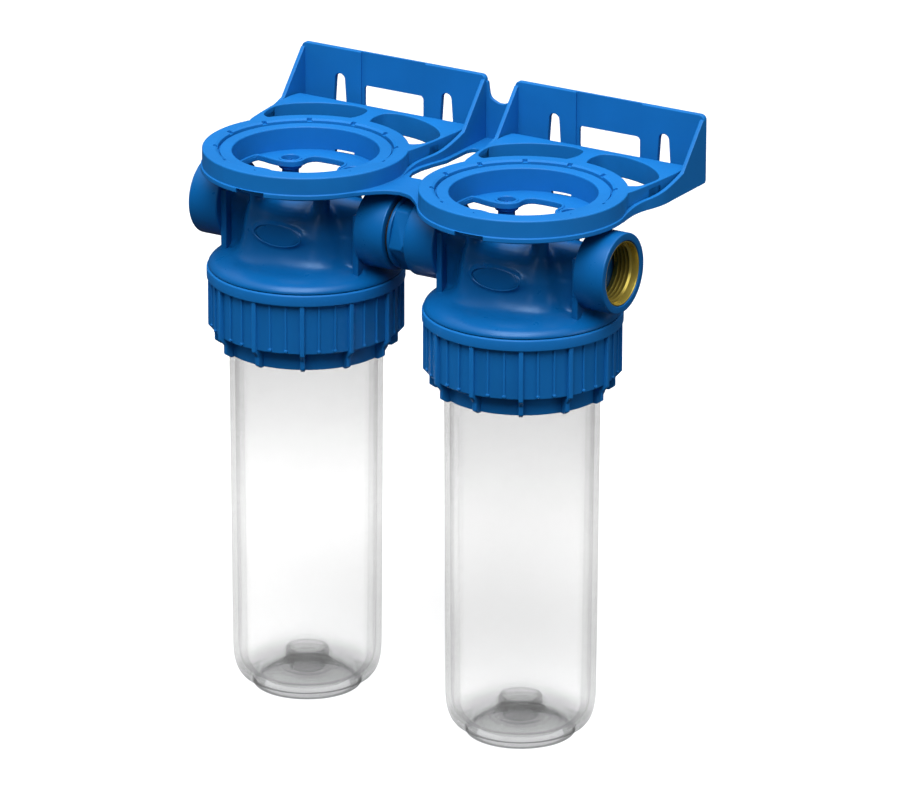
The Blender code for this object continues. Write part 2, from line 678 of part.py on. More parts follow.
def head_mesh():
    """Filter head: neck, port bosses, webs, screw posts, vent boss, skirt thread and tube."""
    head = head_shell()
    pipe_radius = PASSAGE_RADIUS + PASSAGE_WALL
    bridge_end = BOSS_START + FIT
    at_port = (0, 0, PORT_HEIGHT)
    vent_at = (-VENT_OFFSET, 0, 0)
    solids = [
        rod("bridge", pipe_radius, -bridge_end, bridge_end, BORE_SEGMENTS, "X", at_port),
        block("bridge_wall", (-bridge_end - FIT, -pipe_radius + SINK, CREASE_HEIGHT - HEAD_WALL),
              (bridge_end + FIT, pipe_radius - SINK, PORT_HEIGHT)),
        rod("vent_boss", VENT_BOSS_RADIUS, PORT_HEIGHT, VENT_BOSS_TOP, POST_SEGMENTS,
            centre=vent_at),
        helix_ridge("head_thread", SKIRT_RADIUS - OVERRUN, THREAD_CREST, THREAD_ROOT_WIDTH,
                    THREAD_CREST_WIDTH, SKIRT_BOTTOM + THREAD_RISE, THREAD_TURNS),
    ]
    for side in (-1, 1):
        solids.append(rod("boss", BOSS_RADIUS, side * BOSS_START, side * PORT_REACH,
                          BODY_SEGMENTS, "X", at_port))
        ends = sorted((side * (BOSS_START + SINK), side * (BOSS_START + SINK - WEB_THICKNESS)))
        solids.append(block("web", (ends[0], -WEB_WIDTH / 2, CREASE_HEIGHT - HEAD_WALL / 2),
                            (ends[1], WEB_WIDTH / 2, PORT_HEIGHT + PASSAGE_RADIUS)))
    solids += [screw_post((x, y, 0)) for x, y in post_places()]
    fuse(head, *solids)
    cut(head, head_cavity())
    fuse(head, rod("tube", TUBE_RADIUS, TUBE_BOTTOM, DOME_TOP - HEAD_WALL / 2, BORE_SEGMENTS),
         rod("outlet_pipe", pipe_radius - FIT, 0, NECK_RADIUS - HEAD_WALL / 2, BORE_SEGMENTS, "X",
             at_port))
    hollows = [
        rod("tube_bore", PASSAGE_RADIUS, TUBE_BOTTOM - OVERRUN, PORT_HEIGHT, BORE_SEGMENTS),
        rod("outlet_bore", PASSAGE_RADIUS, 0, INSERT_BACK, BORE_SEGMENTS, "X", at_port),
        rod("inlet_bore", PASSAGE_RADIUS, -INSERT_BACK, -TUBE_RADIUS - SINK, BORE_SEGMENTS, "X",
            at_port),
        rod("vent_well", VENT_WELL_RADIUS, VENT_WELL_FLOOR, VENT_BOSS_TOP + OVERRUN,
            POST_SEGMENTS, centre=vent_at),
        rod("vent_hole", VENT_STEM_RADIUS + FIT, PORT_HEIGHT, VENT_BOSS_TOP, POST_SEGMENTS,
            centre=vent_at),
    ]
    for side in (-1, 1):
        hollows.append(rod("insert_seat", SEAT_RADIUS, side * (INSERT_BACK - FIT),
                           side * (PORT_REACH + OVERRUN), BORE_SEGMENTS, "X", at_port))
    for x, y in post_places():
        hollows.append(rod("pilot", SCREW_SHANK_RADIUS + FIT, POST_TOP - PILOT_DEPTH,
                           POST_TOP + OVERRUN, POST_SEGMENTS, centre=(x, y, 0)))
    cut(head, *hollows)
    return finished(head, "blue_polypropylene")


def insert_mesh(side):
    """Brass insert of the port on one side of a unit, threaded for pipe."""
    face = INSERT_FACE
    back = INSERT_BACK
    mouth = face - INSERT_MOUTH_DEPTH
    profile = [(INSERT_RADIUS, back), (INSERT_RADIUS, face - INSERT_CHAMFER)]
    profile += [(INSERT_RADIUS - INSERT_CHAMFER, face), (INSERT_MOUTH_RADIUS, face)]
    profile += [(INSERT_MOUTH_RADIUS, mouth + INSERT_CHAMFER), (INSERT_MINOR_RADIUS, mouth)]
    profile += [(INSERT_MINOR_RADIUS, back)]
    profile = [(radius, side * station) for radius, station in profile]
    return turned("insert", profile, BORE_SEGMENTS, "brass", "X", (0, 0, PORT_HEIGHT))


def vent_button_mesh():
    """Red cap with the stem that passes through the head's roof to its riveted tip."""
    tip_bottom = vent_washer_bottom() - FIT - VENT_TIP_LENGTH
    profile = [(0, VENT_CAP_BOTTOM + VENT_CAP_HEIGHT)]
    profile += [(VENT_CAP_RADIUS - INSERT_CHAMFER, VENT_CAP_BOTTOM + VENT_CAP_HEIGHT)]
    profile += [(VENT_CAP_RADIUS, VENT_CAP_BOTTOM + VENT_CAP_HEIGHT - INSERT_CHAMFER)]
    profile += [(VENT_CAP_RADIUS, VENT_CAP_BOTTOM), (VENT_STEM_RADIUS, VENT_CAP_BOTTOM)]
    profile += [(VENT_STEM_RADIUS, vent_washer_bottom() - FIT)]
    profile += [(VENT_TIP_RADIUS, vent_washer_bottom() - FIT), (VENT_TIP_RADIUS, tip_bottom)]
    profile += [(0, tip_bottom)]
    return turned("vent_button", profile, POST_SEGMENTS, "red_polypropylene")


def vent_seal_top():
    """Level of the vent seal's upper face, under the roof of the passage."""
    return PORT_HEIGHT + PASSAGE_RADIUS - VENT_SEAL_GAP


def vent_washer_bottom():
    """Level of the retaining washer's lower face, under the seal."""
    return vent_seal_top() - VENT_SEAL_THICKNESS - FIT - VENT_WASHER_THICKNESS


def flat_ring(name, inside, outside, low, high, segments, slot):
    """A plain washer."""
    profile = ((outside, high), (outside, low), (inside, low), (inside, high))
    return turned(name, profile, segments, slot)


def vent_spring_mesh():
    """Spring between the well's floor and the cap, as an open helix."""
    low = VENT_WELL_FLOOR + FIT + SPRING_WIRE / 2
    high = VENT_CAP_BOTTOM - FIT - SPRING_WIRE / 2
    steps = SPRING_TURNS * SPRING_STEPS
    sections = []
    for step in range(steps + 1):
        angle = math.tau * step / SPRING_STEPS
        across = Vector((math.cos(angle), math.sin(angle), 0))
        centre = across * SPRING_RADIUS + Vector((0, 0, low + (high - low) * step / steps))
        section = []
        for corner in range(4):
            turn = math.tau * (corner + 0.5) / 4
            reach = SPRING_WIRE / 2 * math.sqrt(2)
            section.append(centre + across * reach * math.cos(turn)
                           + Vector((0, 0, reach * math.sin(turn))))
        sections.append(section)
    return lofted("vent_spring", sections, "spring_steel")


def screw_mesh():
    """Pan-head screw that holds the bracket's floor down on a post."""
    crown = SCREW_TOP - SCREW_HEAD_HEIGHT / 2
    end = SCREW_SEAT - SCREW_LENGTH
    profile = [(0, SCREW_TOP), (SCREW_HEAD_RADIUS - INSERT_CHAMFER, SCREW_TOP)]
    profile += [(SCREW_HEAD_RADIUS, crown), (SCREW_HEAD_RADIUS, SCREW_SEAT)]
    profile += [(SCREW_SHANK_RADIUS, SCREW_SEAT), (SCREW_SHANK_RADIUS, end + SCREW_TIP), (0, end)]
    return turned("bracket_screw", profile, POST_SEGMENTS, "coated_steel")


def ring_frame():
    """Ring over one head, with stepped top, inner cup, floor and outer lip."""
    step_level = RING_TOP - STEP_DEPTH
    under = step_level - RING_TOP_THICKNESS
    inner = RING_RADIUS - RING_WALL
    profile = [(0, FLOOR_TOP), (OPENING_RADIUS, FLOOR_TOP), (OPENING_RADIUS, step_level)]
    profile += [(STEP_RADIUS, step_level), (STEP_RADIUS, RING_TOP), (RING_RADIUS, RING_TOP)]
    profile += [(RING_RADIUS, LIP_TOP), (LIP_RADIUS, LIP_TOP), (LIP_RADIUS, BRACKET_BASE)]
    profile += [(inner, BRACKET_BASE), (inner, under), (CUP_RADIUS, under)]
    profile += [(CUP_RADIUS, FLOOR_BOTTOM), (0, FLOOR_BOTTOM)]
    ring = turned("ring", profile, RING_SEGMENTS)
    lobes = []
    for x, y in post_places():
        lobes.append(rod("lobe", LOBE_RADIUS, LOBE_BOTTOM, FLOOR_BOTTOM + SINK, POST_SEGMENTS,
                         centre=(x, y, 0)))
    fuse(ring, *lobes)
    quarter = [(OPENING_RADIUS * u, OPENING_RADIUS * v) for u, v in FLOOR_QUARTER_SHARES]
    half = quarter + [(-u, v) for u, v in reversed(quarter)]
    opening = half + [(u, -v) for u, v in reversed(half)]
    hollows = [
        prism("floor_opening", opening, LOBE_BOTTOM - OVERRUN, FLOOR_TOP + OVERRUN),
        block("slit", (-SLIT_WIDTH / 2, OPENING_RADIUS - OVERRUN, FLOOR_TOP + FIT),
              (SLIT_WIDTH / 2, CUP_RADIUS + OVERRUN, FLOOR_TOP + FIT + SLIT_HEIGHT)),
        block("lip_notch", (-LIP_NOTCH_WIDTH / 2, -LIP_RADIUS - OVERRUN, BRACKET_BASE - OVERRUN),
              (LIP_NOTCH_WIDTH / 2, -inner + OVERRUN, LIP_TOP)),
    ]
    for x, y in post_places():
        hollows.append(rod("seat", COUNTERBORE_RADIUS, SCREW_SEAT - FIT, FLOOR_TOP + OVERRUN,
                           POST_SEGMENTS, centre=(x, y, 0)))
        hollows.append(rod("hole", SCREW_SHANK_RADIUS + FIT, LOBE_BOTTOM - OVERRUN,
                           SCREW_SEAT + OVERRUN, POST_SEGMENTS, centre=(x, y, 0)))
    return cut(ring, *hollows)


def deck_outline(inset):
    """Deck behind a ring: rear corners and sides, closed by a chord across the ring."""
    half = PLATE_HALF - DECK_WALL - DECK_WALL
    rear = DECK_REAR - inset
    centre = (half - inset - DECK_CORNER, rear - DECK_CORNER)
    side = arc(centre, DECK_CORNER, math.pi / 2, 0, 2)
    for x_share, y_share in DECK_SIDE_SHARES:
        side.append((half * x_share - inset, DECK_REAR * y_share))
    return side + [(-x, y) for x, y in reversed(side)]


def window_outline():
    """Bean-shaped window between the ring and the deck's rear edge, right of the middle."""
    half = PLATE_HALF - DECK_WALL - DECK_WALL
    inner = arc((0, 0), RING_RADIUS - LIP_STEP, WINDOW_ARC[0], WINDOW_ARC[1], WINDOW_ARC_STEPS)
    outer = [(half * x_share, DECK_REAR * y_share) for x_share, y_share in WINDOW_SHARES]
    return inner + outer


def both_windows(name, grow, low, high):
    """One prism for each of a deck's two windows, grown by a wall's thickness."""
    items = []
    for side in (-1, 1):
        outline = [(side * x, y) for x, y in grown(window_outline(), grow)]
        items.append(prism(name, outline, low, high))
    return items


def side_path():
    """Stations of a side wall: outer place, distance to the back and top level."""
    stations = []
    for x_share, y_share, rise_share in SIDE_WALL_SHARES:
        level = LIP_TOP + (PLATE_TOP - LIP_TOP) * rise_share
        stations.append((PLATE_HALF * x_share, WALL_DISTANCE * y_share, level))
    return stations


def side_wall(side):
    """Wall that runs from the back plate's end down to the ring's lip."""
    sections = []
    for x, y, level in side_path():
        inside = x - SIDE_WALL
        sections.append(((side * x, y, BRACKET_BASE), (side * x, y, level),
                         (side * inside, y, level), (side * inside, y, BRACKET_BASE)))
    return lofted("side_wall", sections)


def base_flange():
    """Flat flange between the deck's walls, the side walls and the back plate."""
    outer = [(x - SIDE_WALL + SINK, y) for x, y, level in side_path()]
    outer[0] = (outer[0][0], WALL_DISTANCE - PLATE_THICKNESS / 2)
    half = PLATE_HALF - DECK_WALL - DECK_WALL
    inner = [(half - DECK_WALL / 2, DECK_REAR - DECK_WALL / 2)]
    for x_share, y_share in DECK_SIDE_SHARES:
        inner.append((half * x_share - DECK_WALL / 2, DECK_REAR * y_share))
    low = outer[-1][1]
    contact = RING_RADIUS - RING_WALL / 2
    inner.append((math.sqrt(contact ** 2 - low ** 2), low))
    right = inner + list(reversed(outer))
    outline = right + [(-x, y) for x, y in reversed(right)]
    return prism("base_flange", outline, BRACKET_BASE, LIP_TOP)


def back_plate():
    """Back plate of one unit, still without its openings."""
    front = WALL_DISTANCE - PLATE_THICKNESS
    outline = rounded_box(-PLATE_HALF, PLATE_HALF, BRACKET_BASE, PLATE_TOP, PLATE_CORNER)
    return prism("back_plate", outline, front, WALL_DISTANCE, "XZ")


def plate_cutters():
    """Cutters for the plate's set-back panel, its window and its two hanging slots."""
    front = WALL_DISTANCE - PLATE_THICKNESS
    half = PLATE_WINDOW_WIDTH / 2
    low = BRACKET_BASE + PLATE_WINDOW_RISE
    window = rounded_box(-half, half, low, low + PLATE_WINDOW_HEIGHT, PLATE_WINDOW_CORNER)
    cutters = [
        block("panel", (-PLATE_PANEL, front - OVERRUN, LIP_TOP),
              (PLATE_PANEL, front + PLATE_PANEL_DEPTH, PLATE_TOP + OVERRUN)),
        prism("plate_window", window, front - OVERRUN, WALL_DISTANCE + OVERRUN, "XZ"),
    ]
    for side in (-1, 1):
        centre = side * SLOT_SPACING / 2
        bottom = BRACKET_BASE + SLOT_RISE
        top = bottom + SLOT_LENGTH - SLOT_RADIUS - KEYHOLE_RADIUS
        outline = arc((centre, top), SLOT_RADIUS, 0, math.pi, 4)
        outline += arc((centre, bottom), KEYHOLE_RADIUS, math.pi, math.tau, 4)
        cutters.append(prism("slot", outline, front - OVERRUN, WALL_DISTANCE + OVERRUN, "XZ"))
    return cutters


def web():
    """Flange between the two units, with its front arch and long opening."""
    arch = [(UNIT_PITCH * x, -WEB_ARCH - UNIT_PITCH * y) for x, y in WEB_ARCH_SHARES]
    contact = LIP_RADIUS - RING_WALL / 2
    flank = [(HALF_PITCH + contact * math.cos(angle), contact * math.sin(angle))
             for angle in WEB_FLANK_ANGLES]
    wall = [(HALF_PITCH - x + SINK, y) for x, y, level in reversed(side_path()[:-2])]
    wall[-1] = (wall[-1][0], WALL_DISTANCE - PLATE_THICKNESS / 2)
    right = arch + flank + wall
    outline = right + [(-x, y) for x, y in reversed(right[1:])]
    return prism("bracket", outline, BRACKET_BASE, LIP_TOP)


def web_hole():
    """Cutter for the long opening in the web."""
    gap = HALF_PITCH - PLATE_HALF
    hole = [(gap * x, WALL_DISTANCE * y) for x, y in WEB_HOLE_SHARES]
    outline = hole + [(-x, y) for x, y in reversed(hole[1:-1])]
    return prism("web_hole", outline, BRACKET_BASE - OVERRUN, LIP_TOP + OVERRUN)


def saddle():
    """Strip that joins the back plates, with the dip in its top edge."""
    dip = HALF_PITCH - PLATE_HALF
    half = dip + PLATE_CORNER + SINK
    top = PLATE_TOP - PLATE_CORNER - SINK
    outline = [(half, BRACKET_BASE), (half, top)]
    for out_share, down_share in SADDLE_SHARES:
        outline.append((dip * out_share, top - SADDLE_DIP * down_share))
    outline = mirrored(outline)
    front = WALL_DISTANCE - PLATE_THICKNESS + PLATE_PANEL_DEPTH
    return prism("saddle", outline, front, WALL_DISTANCE, "XZ")


def in_both_units(maker):
    """Make the shapes of one unit twice and set them on the two units' axes."""
    items = []
    for name, x in UNITS:
        items += [moved(item, (x, 0, 0)) for item in maker()]
    return items


def build_bracket():
    """The whole duplex bracket as one moulding."""
    ring_room = RING_RADIUS - RING_WALL / 2
    bracket = web()
    fuse(bracket, saddle(), *in_both_units(lambda: [
        back_plate(), base_flange(), side_wall(-1), side_wall(1),
        prism("deck", deck_outline(0), BRACKET_BASE, RING_TOP)]))
    cut(bracket, web_hole(), *in_both_units(lambda: plate_cutters() + [
        prism("pocket", deck_outline(DECK_WALL), BRACKET_BASE - OVERRUN,
              RING_TOP - RING_TOP_THICKNESS)]))
    fuse(bracket, *in_both_units(lambda: both_windows("window_wall", DECK_WALL, BRACKET_BASE,
                                                      RING_TOP - SINK)))
    cut(bracket, *in_both_units(lambda: [rod("ring_room", ring_room, BRACKET_BASE - OVERRUN,
                                             RING_TOP + OVERRUN, RING_SEGMENTS)]))
    fuse(bracket, *in_both_units(lambda: [ring_frame()]))
    cut(bracket, *in_both_units(lambda: both_windows("window", 0, BRACKET_BASE - OVERRUN,
                                                     RING_TOP + OVERRUN)))
    moved(bracket, (0, AXIS_Y, 0))
    return finished(bracket, "blue_polypropylene")


def build_nipple():
    """Hexagon nipple with a flange on its inlet side, and its two flat seals."""
    at = (0, AXIS_Y, PORT_HEIGHT)
    end = JOINT_GAP / 2
    seal_end = -end + FIT + SEAL_WIDTH
    flange_start = seal_end + FIT
    flange_end = flange_start + NIPPLE_FLANGE_WIDTH
    reach = end + NIPPLE_REACH
    profile = ((NIPPLE_RADIUS, -reach), (NIPPLE_RADIUS, flange_start),
               (NIPPLE_FLANGE_RADIUS, flange_start), (NIPPLE_FLANGE_RADIUS, flange_end),
               (NIPPLE_RADIUS, flange_end), (NIPPLE_RADIUS, reach), (NIPPLE_BORE, reach),
               (NIPPLE_BORE, -reach))
    nipple = turned("nipple", profile, BORE_SEGMENTS, None, "X", at)
    corner = HEX_ACROSS_FLATS / math.sqrt(3)
    core = (NIPPLE_RADIUS + NIPPLE_BORE) / 2
    profile = ((corner, flange_end - SINK), (corner, flange_end + HEX_WIDTH),
               (core, flange_end + HEX_WIDTH), (core, flange_end - SINK))
    flats = turned("flats", profile, 6, None, "X")
    flats.data.transform(Matrix.Rotation(HEX_TURN, 4, "X"))
    fuse(nipple, moved(flats, at))
    finished(nipple, "blue_polypropylene")
    inside = NIPPLE_RADIUS + FIT
    spans = (("left", -end + FIT, seal_end),
             ("right", flange_end + HEX_WIDTH + FIT, end - FIT))
    for name, start, stop in spans:
        profile = ((NIPPLE_SEAL_RADIUS, start), (NIPPLE_SEAL_RADIUS, stop), (inside, stop),
                   (inside, start))
        turned("nipple_seal_" + name, profile, BORE_SEGMENTS, "nitrile_rubber", "X", at)


def copies(source, base_name):
    """Place one mesh in both units and remove the object it came from."""
    for name, x in UNITS:
        item = bpy.data.objects.new(base_name + "_" + name, source.data)
        bpy.context.collection.objects.link(item)
        place(item, x)
    bpy.data.objects.remove(source, do_unlink=True)


def build_units():
    """Every piece that each unit has one of, or four of."""
    copies(head_mesh(), "head")
    copies(bowl_mesh(), "bowl")
    copies(collar_mesh(), "collar")
    copies(oring_mesh(), "bowl_oring")
    copies(slip_ring_mesh(), "slip_ring")
    copies(insert_mesh(-1), "inlet_insert")
    copies(insert_mesh(1), "outlet_insert")
    vent_pieces = (
        vent_button_mesh(),
        vent_spring_mesh(),
        flat_ring("vent_seal", VENT_STEM_RADIUS + FIT, VENT_SEAL_RADIUS,
                  vent_seal_top() - VENT_SEAL_THICKNESS, vent_seal_top(), POST_SEGMENTS,
                  "nitrile_rubber"),
        flat_ring("vent_washer", VENT_STEM_RADIUS + FIT, VENT_WASHER_RADIUS,
                  vent_washer_bottom(), vent_washer_bottom() + VENT_WASHER_THICKNESS,
                  POST_SEGMENTS, "spring_steel"),
    )
    for piece in vent_pieces:
        for name, x in UNITS:
            item = bpy.data.objects.new(piece.data.name.split(".")[0] + "_" + name, piece.data)
            bpy.context.collection.objects.link(item)
            item.location = (x - VENT_OFFSET, AXIS_Y, 0)
        bpy.data.objects.remove(piece, do_unlink=True)
    screw = screw_mesh()
    for name, x in UNITS:
        for number, (dx, dy) in enumerate(post_places(), 1):
            item = bpy.data.objects.new("bracket_screw_" + name + "_" + str(number), screw.data)
            bpy.context.collection.objects.link(item)
            item.location = (x + dx, AXIS_Y + dy, 0)
    bpy.data.objects.remove(screw, do_unlink=True)


def main():
    clear_scene()
    build_bracket()
    build_nipple()
    build_units()


main()
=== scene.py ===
"""Looks of the duplex water filter housing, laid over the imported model."""
import contextlib
import math

import bmesh
import bpy
import numpy
from bpy.props import FloatProperty, FloatVectorProperty, IntProperty, PointerProperty
from bpy.types import Operator, Panel, PropertyGroup
from mathutils import Matrix, Vector


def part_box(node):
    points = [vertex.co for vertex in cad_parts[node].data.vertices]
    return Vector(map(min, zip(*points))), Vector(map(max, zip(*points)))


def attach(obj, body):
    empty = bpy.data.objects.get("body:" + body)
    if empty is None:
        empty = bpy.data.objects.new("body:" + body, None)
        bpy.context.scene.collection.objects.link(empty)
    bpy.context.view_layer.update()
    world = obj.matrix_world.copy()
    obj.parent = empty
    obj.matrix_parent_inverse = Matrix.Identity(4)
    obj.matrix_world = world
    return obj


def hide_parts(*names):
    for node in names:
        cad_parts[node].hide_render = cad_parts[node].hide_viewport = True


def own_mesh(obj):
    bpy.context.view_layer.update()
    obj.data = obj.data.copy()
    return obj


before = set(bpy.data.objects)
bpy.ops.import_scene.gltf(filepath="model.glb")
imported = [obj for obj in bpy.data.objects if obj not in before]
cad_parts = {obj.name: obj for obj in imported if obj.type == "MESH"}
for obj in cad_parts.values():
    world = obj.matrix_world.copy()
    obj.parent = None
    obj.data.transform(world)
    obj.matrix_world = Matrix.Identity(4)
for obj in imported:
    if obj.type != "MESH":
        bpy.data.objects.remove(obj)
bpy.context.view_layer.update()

bl_info = {
    "name": "Duplex Filter Housing",
    "version": (1, 0, 0),
    "blender": (4, 5, 0),
    "location": "3D View > Sidebar > Filter",
    "description": "Builds the finished look of a duplex water filter housing",
    "category": "Object",
}

# Places, from the frame
bowl_low, bowl_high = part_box("bowl_left")
UNIT_X = -(bowl_low[0] + bowl_high[0]) / 2
UNIT_Y = (bowl_low[1] + bowl_high[1]) / 2
SIDES = (("left", -UNIT_X), ("right", UNIT_X))

# Sizes, in metres
# Small values that keep walls whole where pieces meet
HAIR = 0.0003
SINK = 0.0006
CLEAR = 0.0010

# Bowl
BOWL_R = 0.0420
BOWL_LOW_R = 0.0409
BOWL_WALL = 0.0030
BOWL_REACH = 0.1969
FOOT_R = 0.0300
FOOT_RIM = 0.0040
FOOT_HIGH = 0.0043
BOWL_FLOOR = 0.0079
SOCKET_R = 0.0119
SOCKET_BORE = 0.0093
SOCKET_TOP = 0.0199
SPIGOT_R = 0.0439
FLANGE_R = 0.04845
FLANGE_LOW = 0.2138
FLANGE_TOP = 0.2182
GROOVE_LOW = 0.2235
GROOVE_TOP = 0.2271
GROOVE_R = 0.0408
SPIGOT_TOP = 0.2340
FOOT_ROOF = 0.0049
STEP_IN_FLOOR = 0.0096
ORING_CORD = 0.0014
SLIP_LOW = 0.2121
SLIP_HIGH = 0.2135
CORNER_RISE = 0.0177
CORNER_SHARES = ((0.22, 0.012), (0.40, 0.05), (0.60, 0.140), (0.76, 0.27), (0.87, 0.43), (0.94, 0.62),
                 (0.98, 0.80), (1.00, 1.00))

# Collar nut
COLLAR_TOP = 0.2422
COLLAR_BORE = 0.04905
BAND_R = 0.0540
BAND_LOW = 0.2360
FLUTE_R = 0.0512
GRIP_LOW = 0.2079
LEDGE_TOP = 0.2118
LOWER_BORE = 0.0427
LOWER_R = 0.0450
RIB_R = 0.0534
RIB_WIDE = 0.0025
RIB_LOW = 0.2074
FIN_R = 0.0499
FIN_TOP = 0.2036
FIN_LOW = 0.1966
FIN_TIP_R = 0.0466
FIN_TIP_HIGH = 0.0021
THIN_R = 0.0521
THIN_WIDE = 0.0012
THIN_LOW = 0.2092
SECTORS = 12
THIN_STARTS = (10, 20)
THREAD_PITCH = 0.0080
SKIRT_R = 0.0469
SKIRT_BORE = 0.0442
SKIRT_LOW = 0.2185
SKIRT_CEILING = 0.2385
THREAD_CREST = 0.04845
RIDGE_ROOT = 0.0032
RIDGE_CREST = 0.0022

# Head
RIM_R = 0.0532
RIM_LOW = 0.2429
CREASE_R = 0.0410
CREASE_Z = 0.2492
NECK_R = 0.0285
HEAD_WALL = 0.0040
FLARE_TOP = 0.2660
DOME_BASE = 0.2710
DOME_TOP = 0.2880
# Step for the slope of a distance
PROBE = 0.00008
PORT_Z = 0.2724
BOSS_R = 0.0220
BOSS_START = 0.0434
BOSS_END = 0.0617
PASSAGE_R = 0.0095
PIPE_R = 0.0127
WEB_FRONT = 0.0173
WEB_INNER = 0.0402
WEB_OUTER = 0.0440
WEB_TOP = 0.2819
TUBE_R = 0.0130
TUBE_LOW = 0.2570
POST_X = 0.0200
POST_Y = 0.0160
POST_R = 0.00465
POST_TOP = 0.2895
PILOT_R = 0.0022
PAD_Z = 0.2668
PAD_FACE = 0.0287
PAD_HALF_WIDE = 0.0147
PAD_HALF_HIGH = 0.0059
VENT_X = -0.0240
VENT_BOSS_R = 0.0065
VENT_BOSS_TOP = 0.2872
VENT_FLOOR = 0.2842
VENT_WELL_R = 0.0048
VENT_CAP_R = 0.0042
VENT_CAP_LOW = 0.2872
VENT_STEM_R = 0.0016
COIL_R = 0.0029
COIL_WIRE = 0.00025
SEAT_R = 0.01785
INSERT_R = 0.01755
INSERT_MINOR = 0.01515
INSERT_MOUTH = 0.0167
INSERT_FACE = 0.0613
INSERT_BACK = 0.0463
INSERT_LIP = 0.0002
INSERT_LEAD = 0.0038

# Nipple between the heads
NIPPLE_R = 0.0148
NIPPLE_BORE = 0.0110
NIPPLE_REACH = 0.0208
HEX_FLATS = 0.0360
HEX_TURN = math.radians(40)
NIPPLE_FLANGE_R = 0.0202
SEAL_R = 0.0186

# Bracket
BASE_Z = 0.2970
LIP_TOP = 0.2997
RING_TOP = 0.3094
PLATE_TOP = 0.3354
FLOOR_LOW = 0.2918
FLOOR_TOP = 0.2948
LOBE_LOW = 0.2898
LOBE_R = 0.0064
COUNTERBORE_R = 0.0049
SCREW_SEAT = 0.2917
SCREW_TOP = 0.2937
SCREW_HEAD_R = 0.0038
RING_R = 0.0560
RING_INNER = 0.0534
RING_UNDER = 0.3050
LIP_R = 0.0568
LIP_NOTCH = 0.0088
SLIT_HALF = 0.0062
STEP_R = 0.0476
STEP_Z = 0.3076
STEP_BEVEL = 0.0014
STEP_GROOVE = 0.0011
GROOVE_FLOOR = 0.3061
NICK_HALF = 0.0014
NICK_REACH = 0.0024
OPENING_R = 0.0398
CUP_R = 0.0422
# How far decks and webs run into the ring
RING_LAP = 0.0013
# Faces round collars and rings
RING_STEPS = 192
WALL_Y = 0.0924
PLATE_DEEP = 0.0032
PLATE_HALF = 0.0591
PLATE_CORNER = 0.0030
DECK_CORNER = 0.0025
DECK_REAR = 0.0790
DECK_WALL = 0.0022
DECK_HALF = PLATE_HALF - DECK_WALL - DECK_WALL
DECK_TOP_DEEP = 0.0026
SIDE_WALL = 0.0023
SIDE_EDGE = 0.0005
# Rough side wall before it is laid on its stations
ROUGH_HIGH = 0.030
ROUGH_STEP = 0.001
CREST_HIGH = 0.002
SLOT_X = 0.0343
SLOT_R = 0.0031
KEYHOLE_R = 0.0042
SLOT_LOW = 0.3025
SLOT_HIGH = 0.3177
PANEL_HALF = 0.0206
PANEL_DEEP = 0.0010
WINDOW_HALF = 0.0190
WINDOW_LOW = 0.3033
WINDOW_HIGH = 0.3164
SADDLE_DIP = 0.0115
UNIT_PITCH = UNIT_X * 2
GAP_HALF = UNIT_X - PLATE_HALF

# Outlines as shares of a size
FLOOR_SHARES = (
    (0.960, 0.200), (0.870, 0.236), (0.720, 0.205), (0.560, 0.186), (0.440, 0.202),
    (0.340, 0.260), (0.290, 0.360), (0.284, 0.510), (0.225, 0.600), (0.100, 0.624),
)
WINDOW_SHARES = (
    (0.860, 0.428), (0.925, 0.475), (0.960, 0.585), (0.945, 0.685),
    (0.835, 0.785), (0.670, 0.870), (0.510, 0.918), (0.345, 0.945), (0.205, 0.945),
    (0.105, 0.910), (0.074, 0.820), (0.090, 0.745),
)
DECK_SIDE_SHARES = (
    (1.022, 0.880), (1.008, 0.700), (0.982, 0.505), (0.955, 0.355), (0.925, 0.275),
)
SIDE_WALL_SHARES = (
    (1.000, 0.990, 0.930), (1.000, 0.958, 0.930), (1.000, 0.735, 0.262), (1.000, 0.640, 0.196),
    (1.000, 0.520, 0.140), (0.976, 0.435, 0.105), (0.938, 0.350, 0.082), (0.922, 0.275, 0.062),
    (0.927, 0.190, 0.034), (0.946, 0.105, 0.006),
)
WEB_HOLE_SHARES = (
    (0.980, 0.105), (1.270, 0.200), (1.250, 0.300), (1.040, 0.400), (0.760, 0.500), (0.740, 0.720),
    (0.560, 0.765),
)
WEB_ARCH_Y = -0.0144
# Angles where the web meets the ring
WEB_FLANK = [math.radians(angle) for angle in (-147, -163, 180, 163)]
WEB_ARCH_SHARES = ((0.000, 0.000), (0.051, 0.016), (0.095, 0.052), (0.134, 0.094), (0.166, 0.138))
SADDLE_SHARES = ((0.90, 0.00), (0.76, 0.66), (0.54, 0.86), (0.15, 1.00))
SHOULDER_SHARES = ((0.00, 1.00), (0.30, 0.905), (0.60, 0.72), (0.80, 0.53), (0.92, 0.34), (1.00, 0.00))


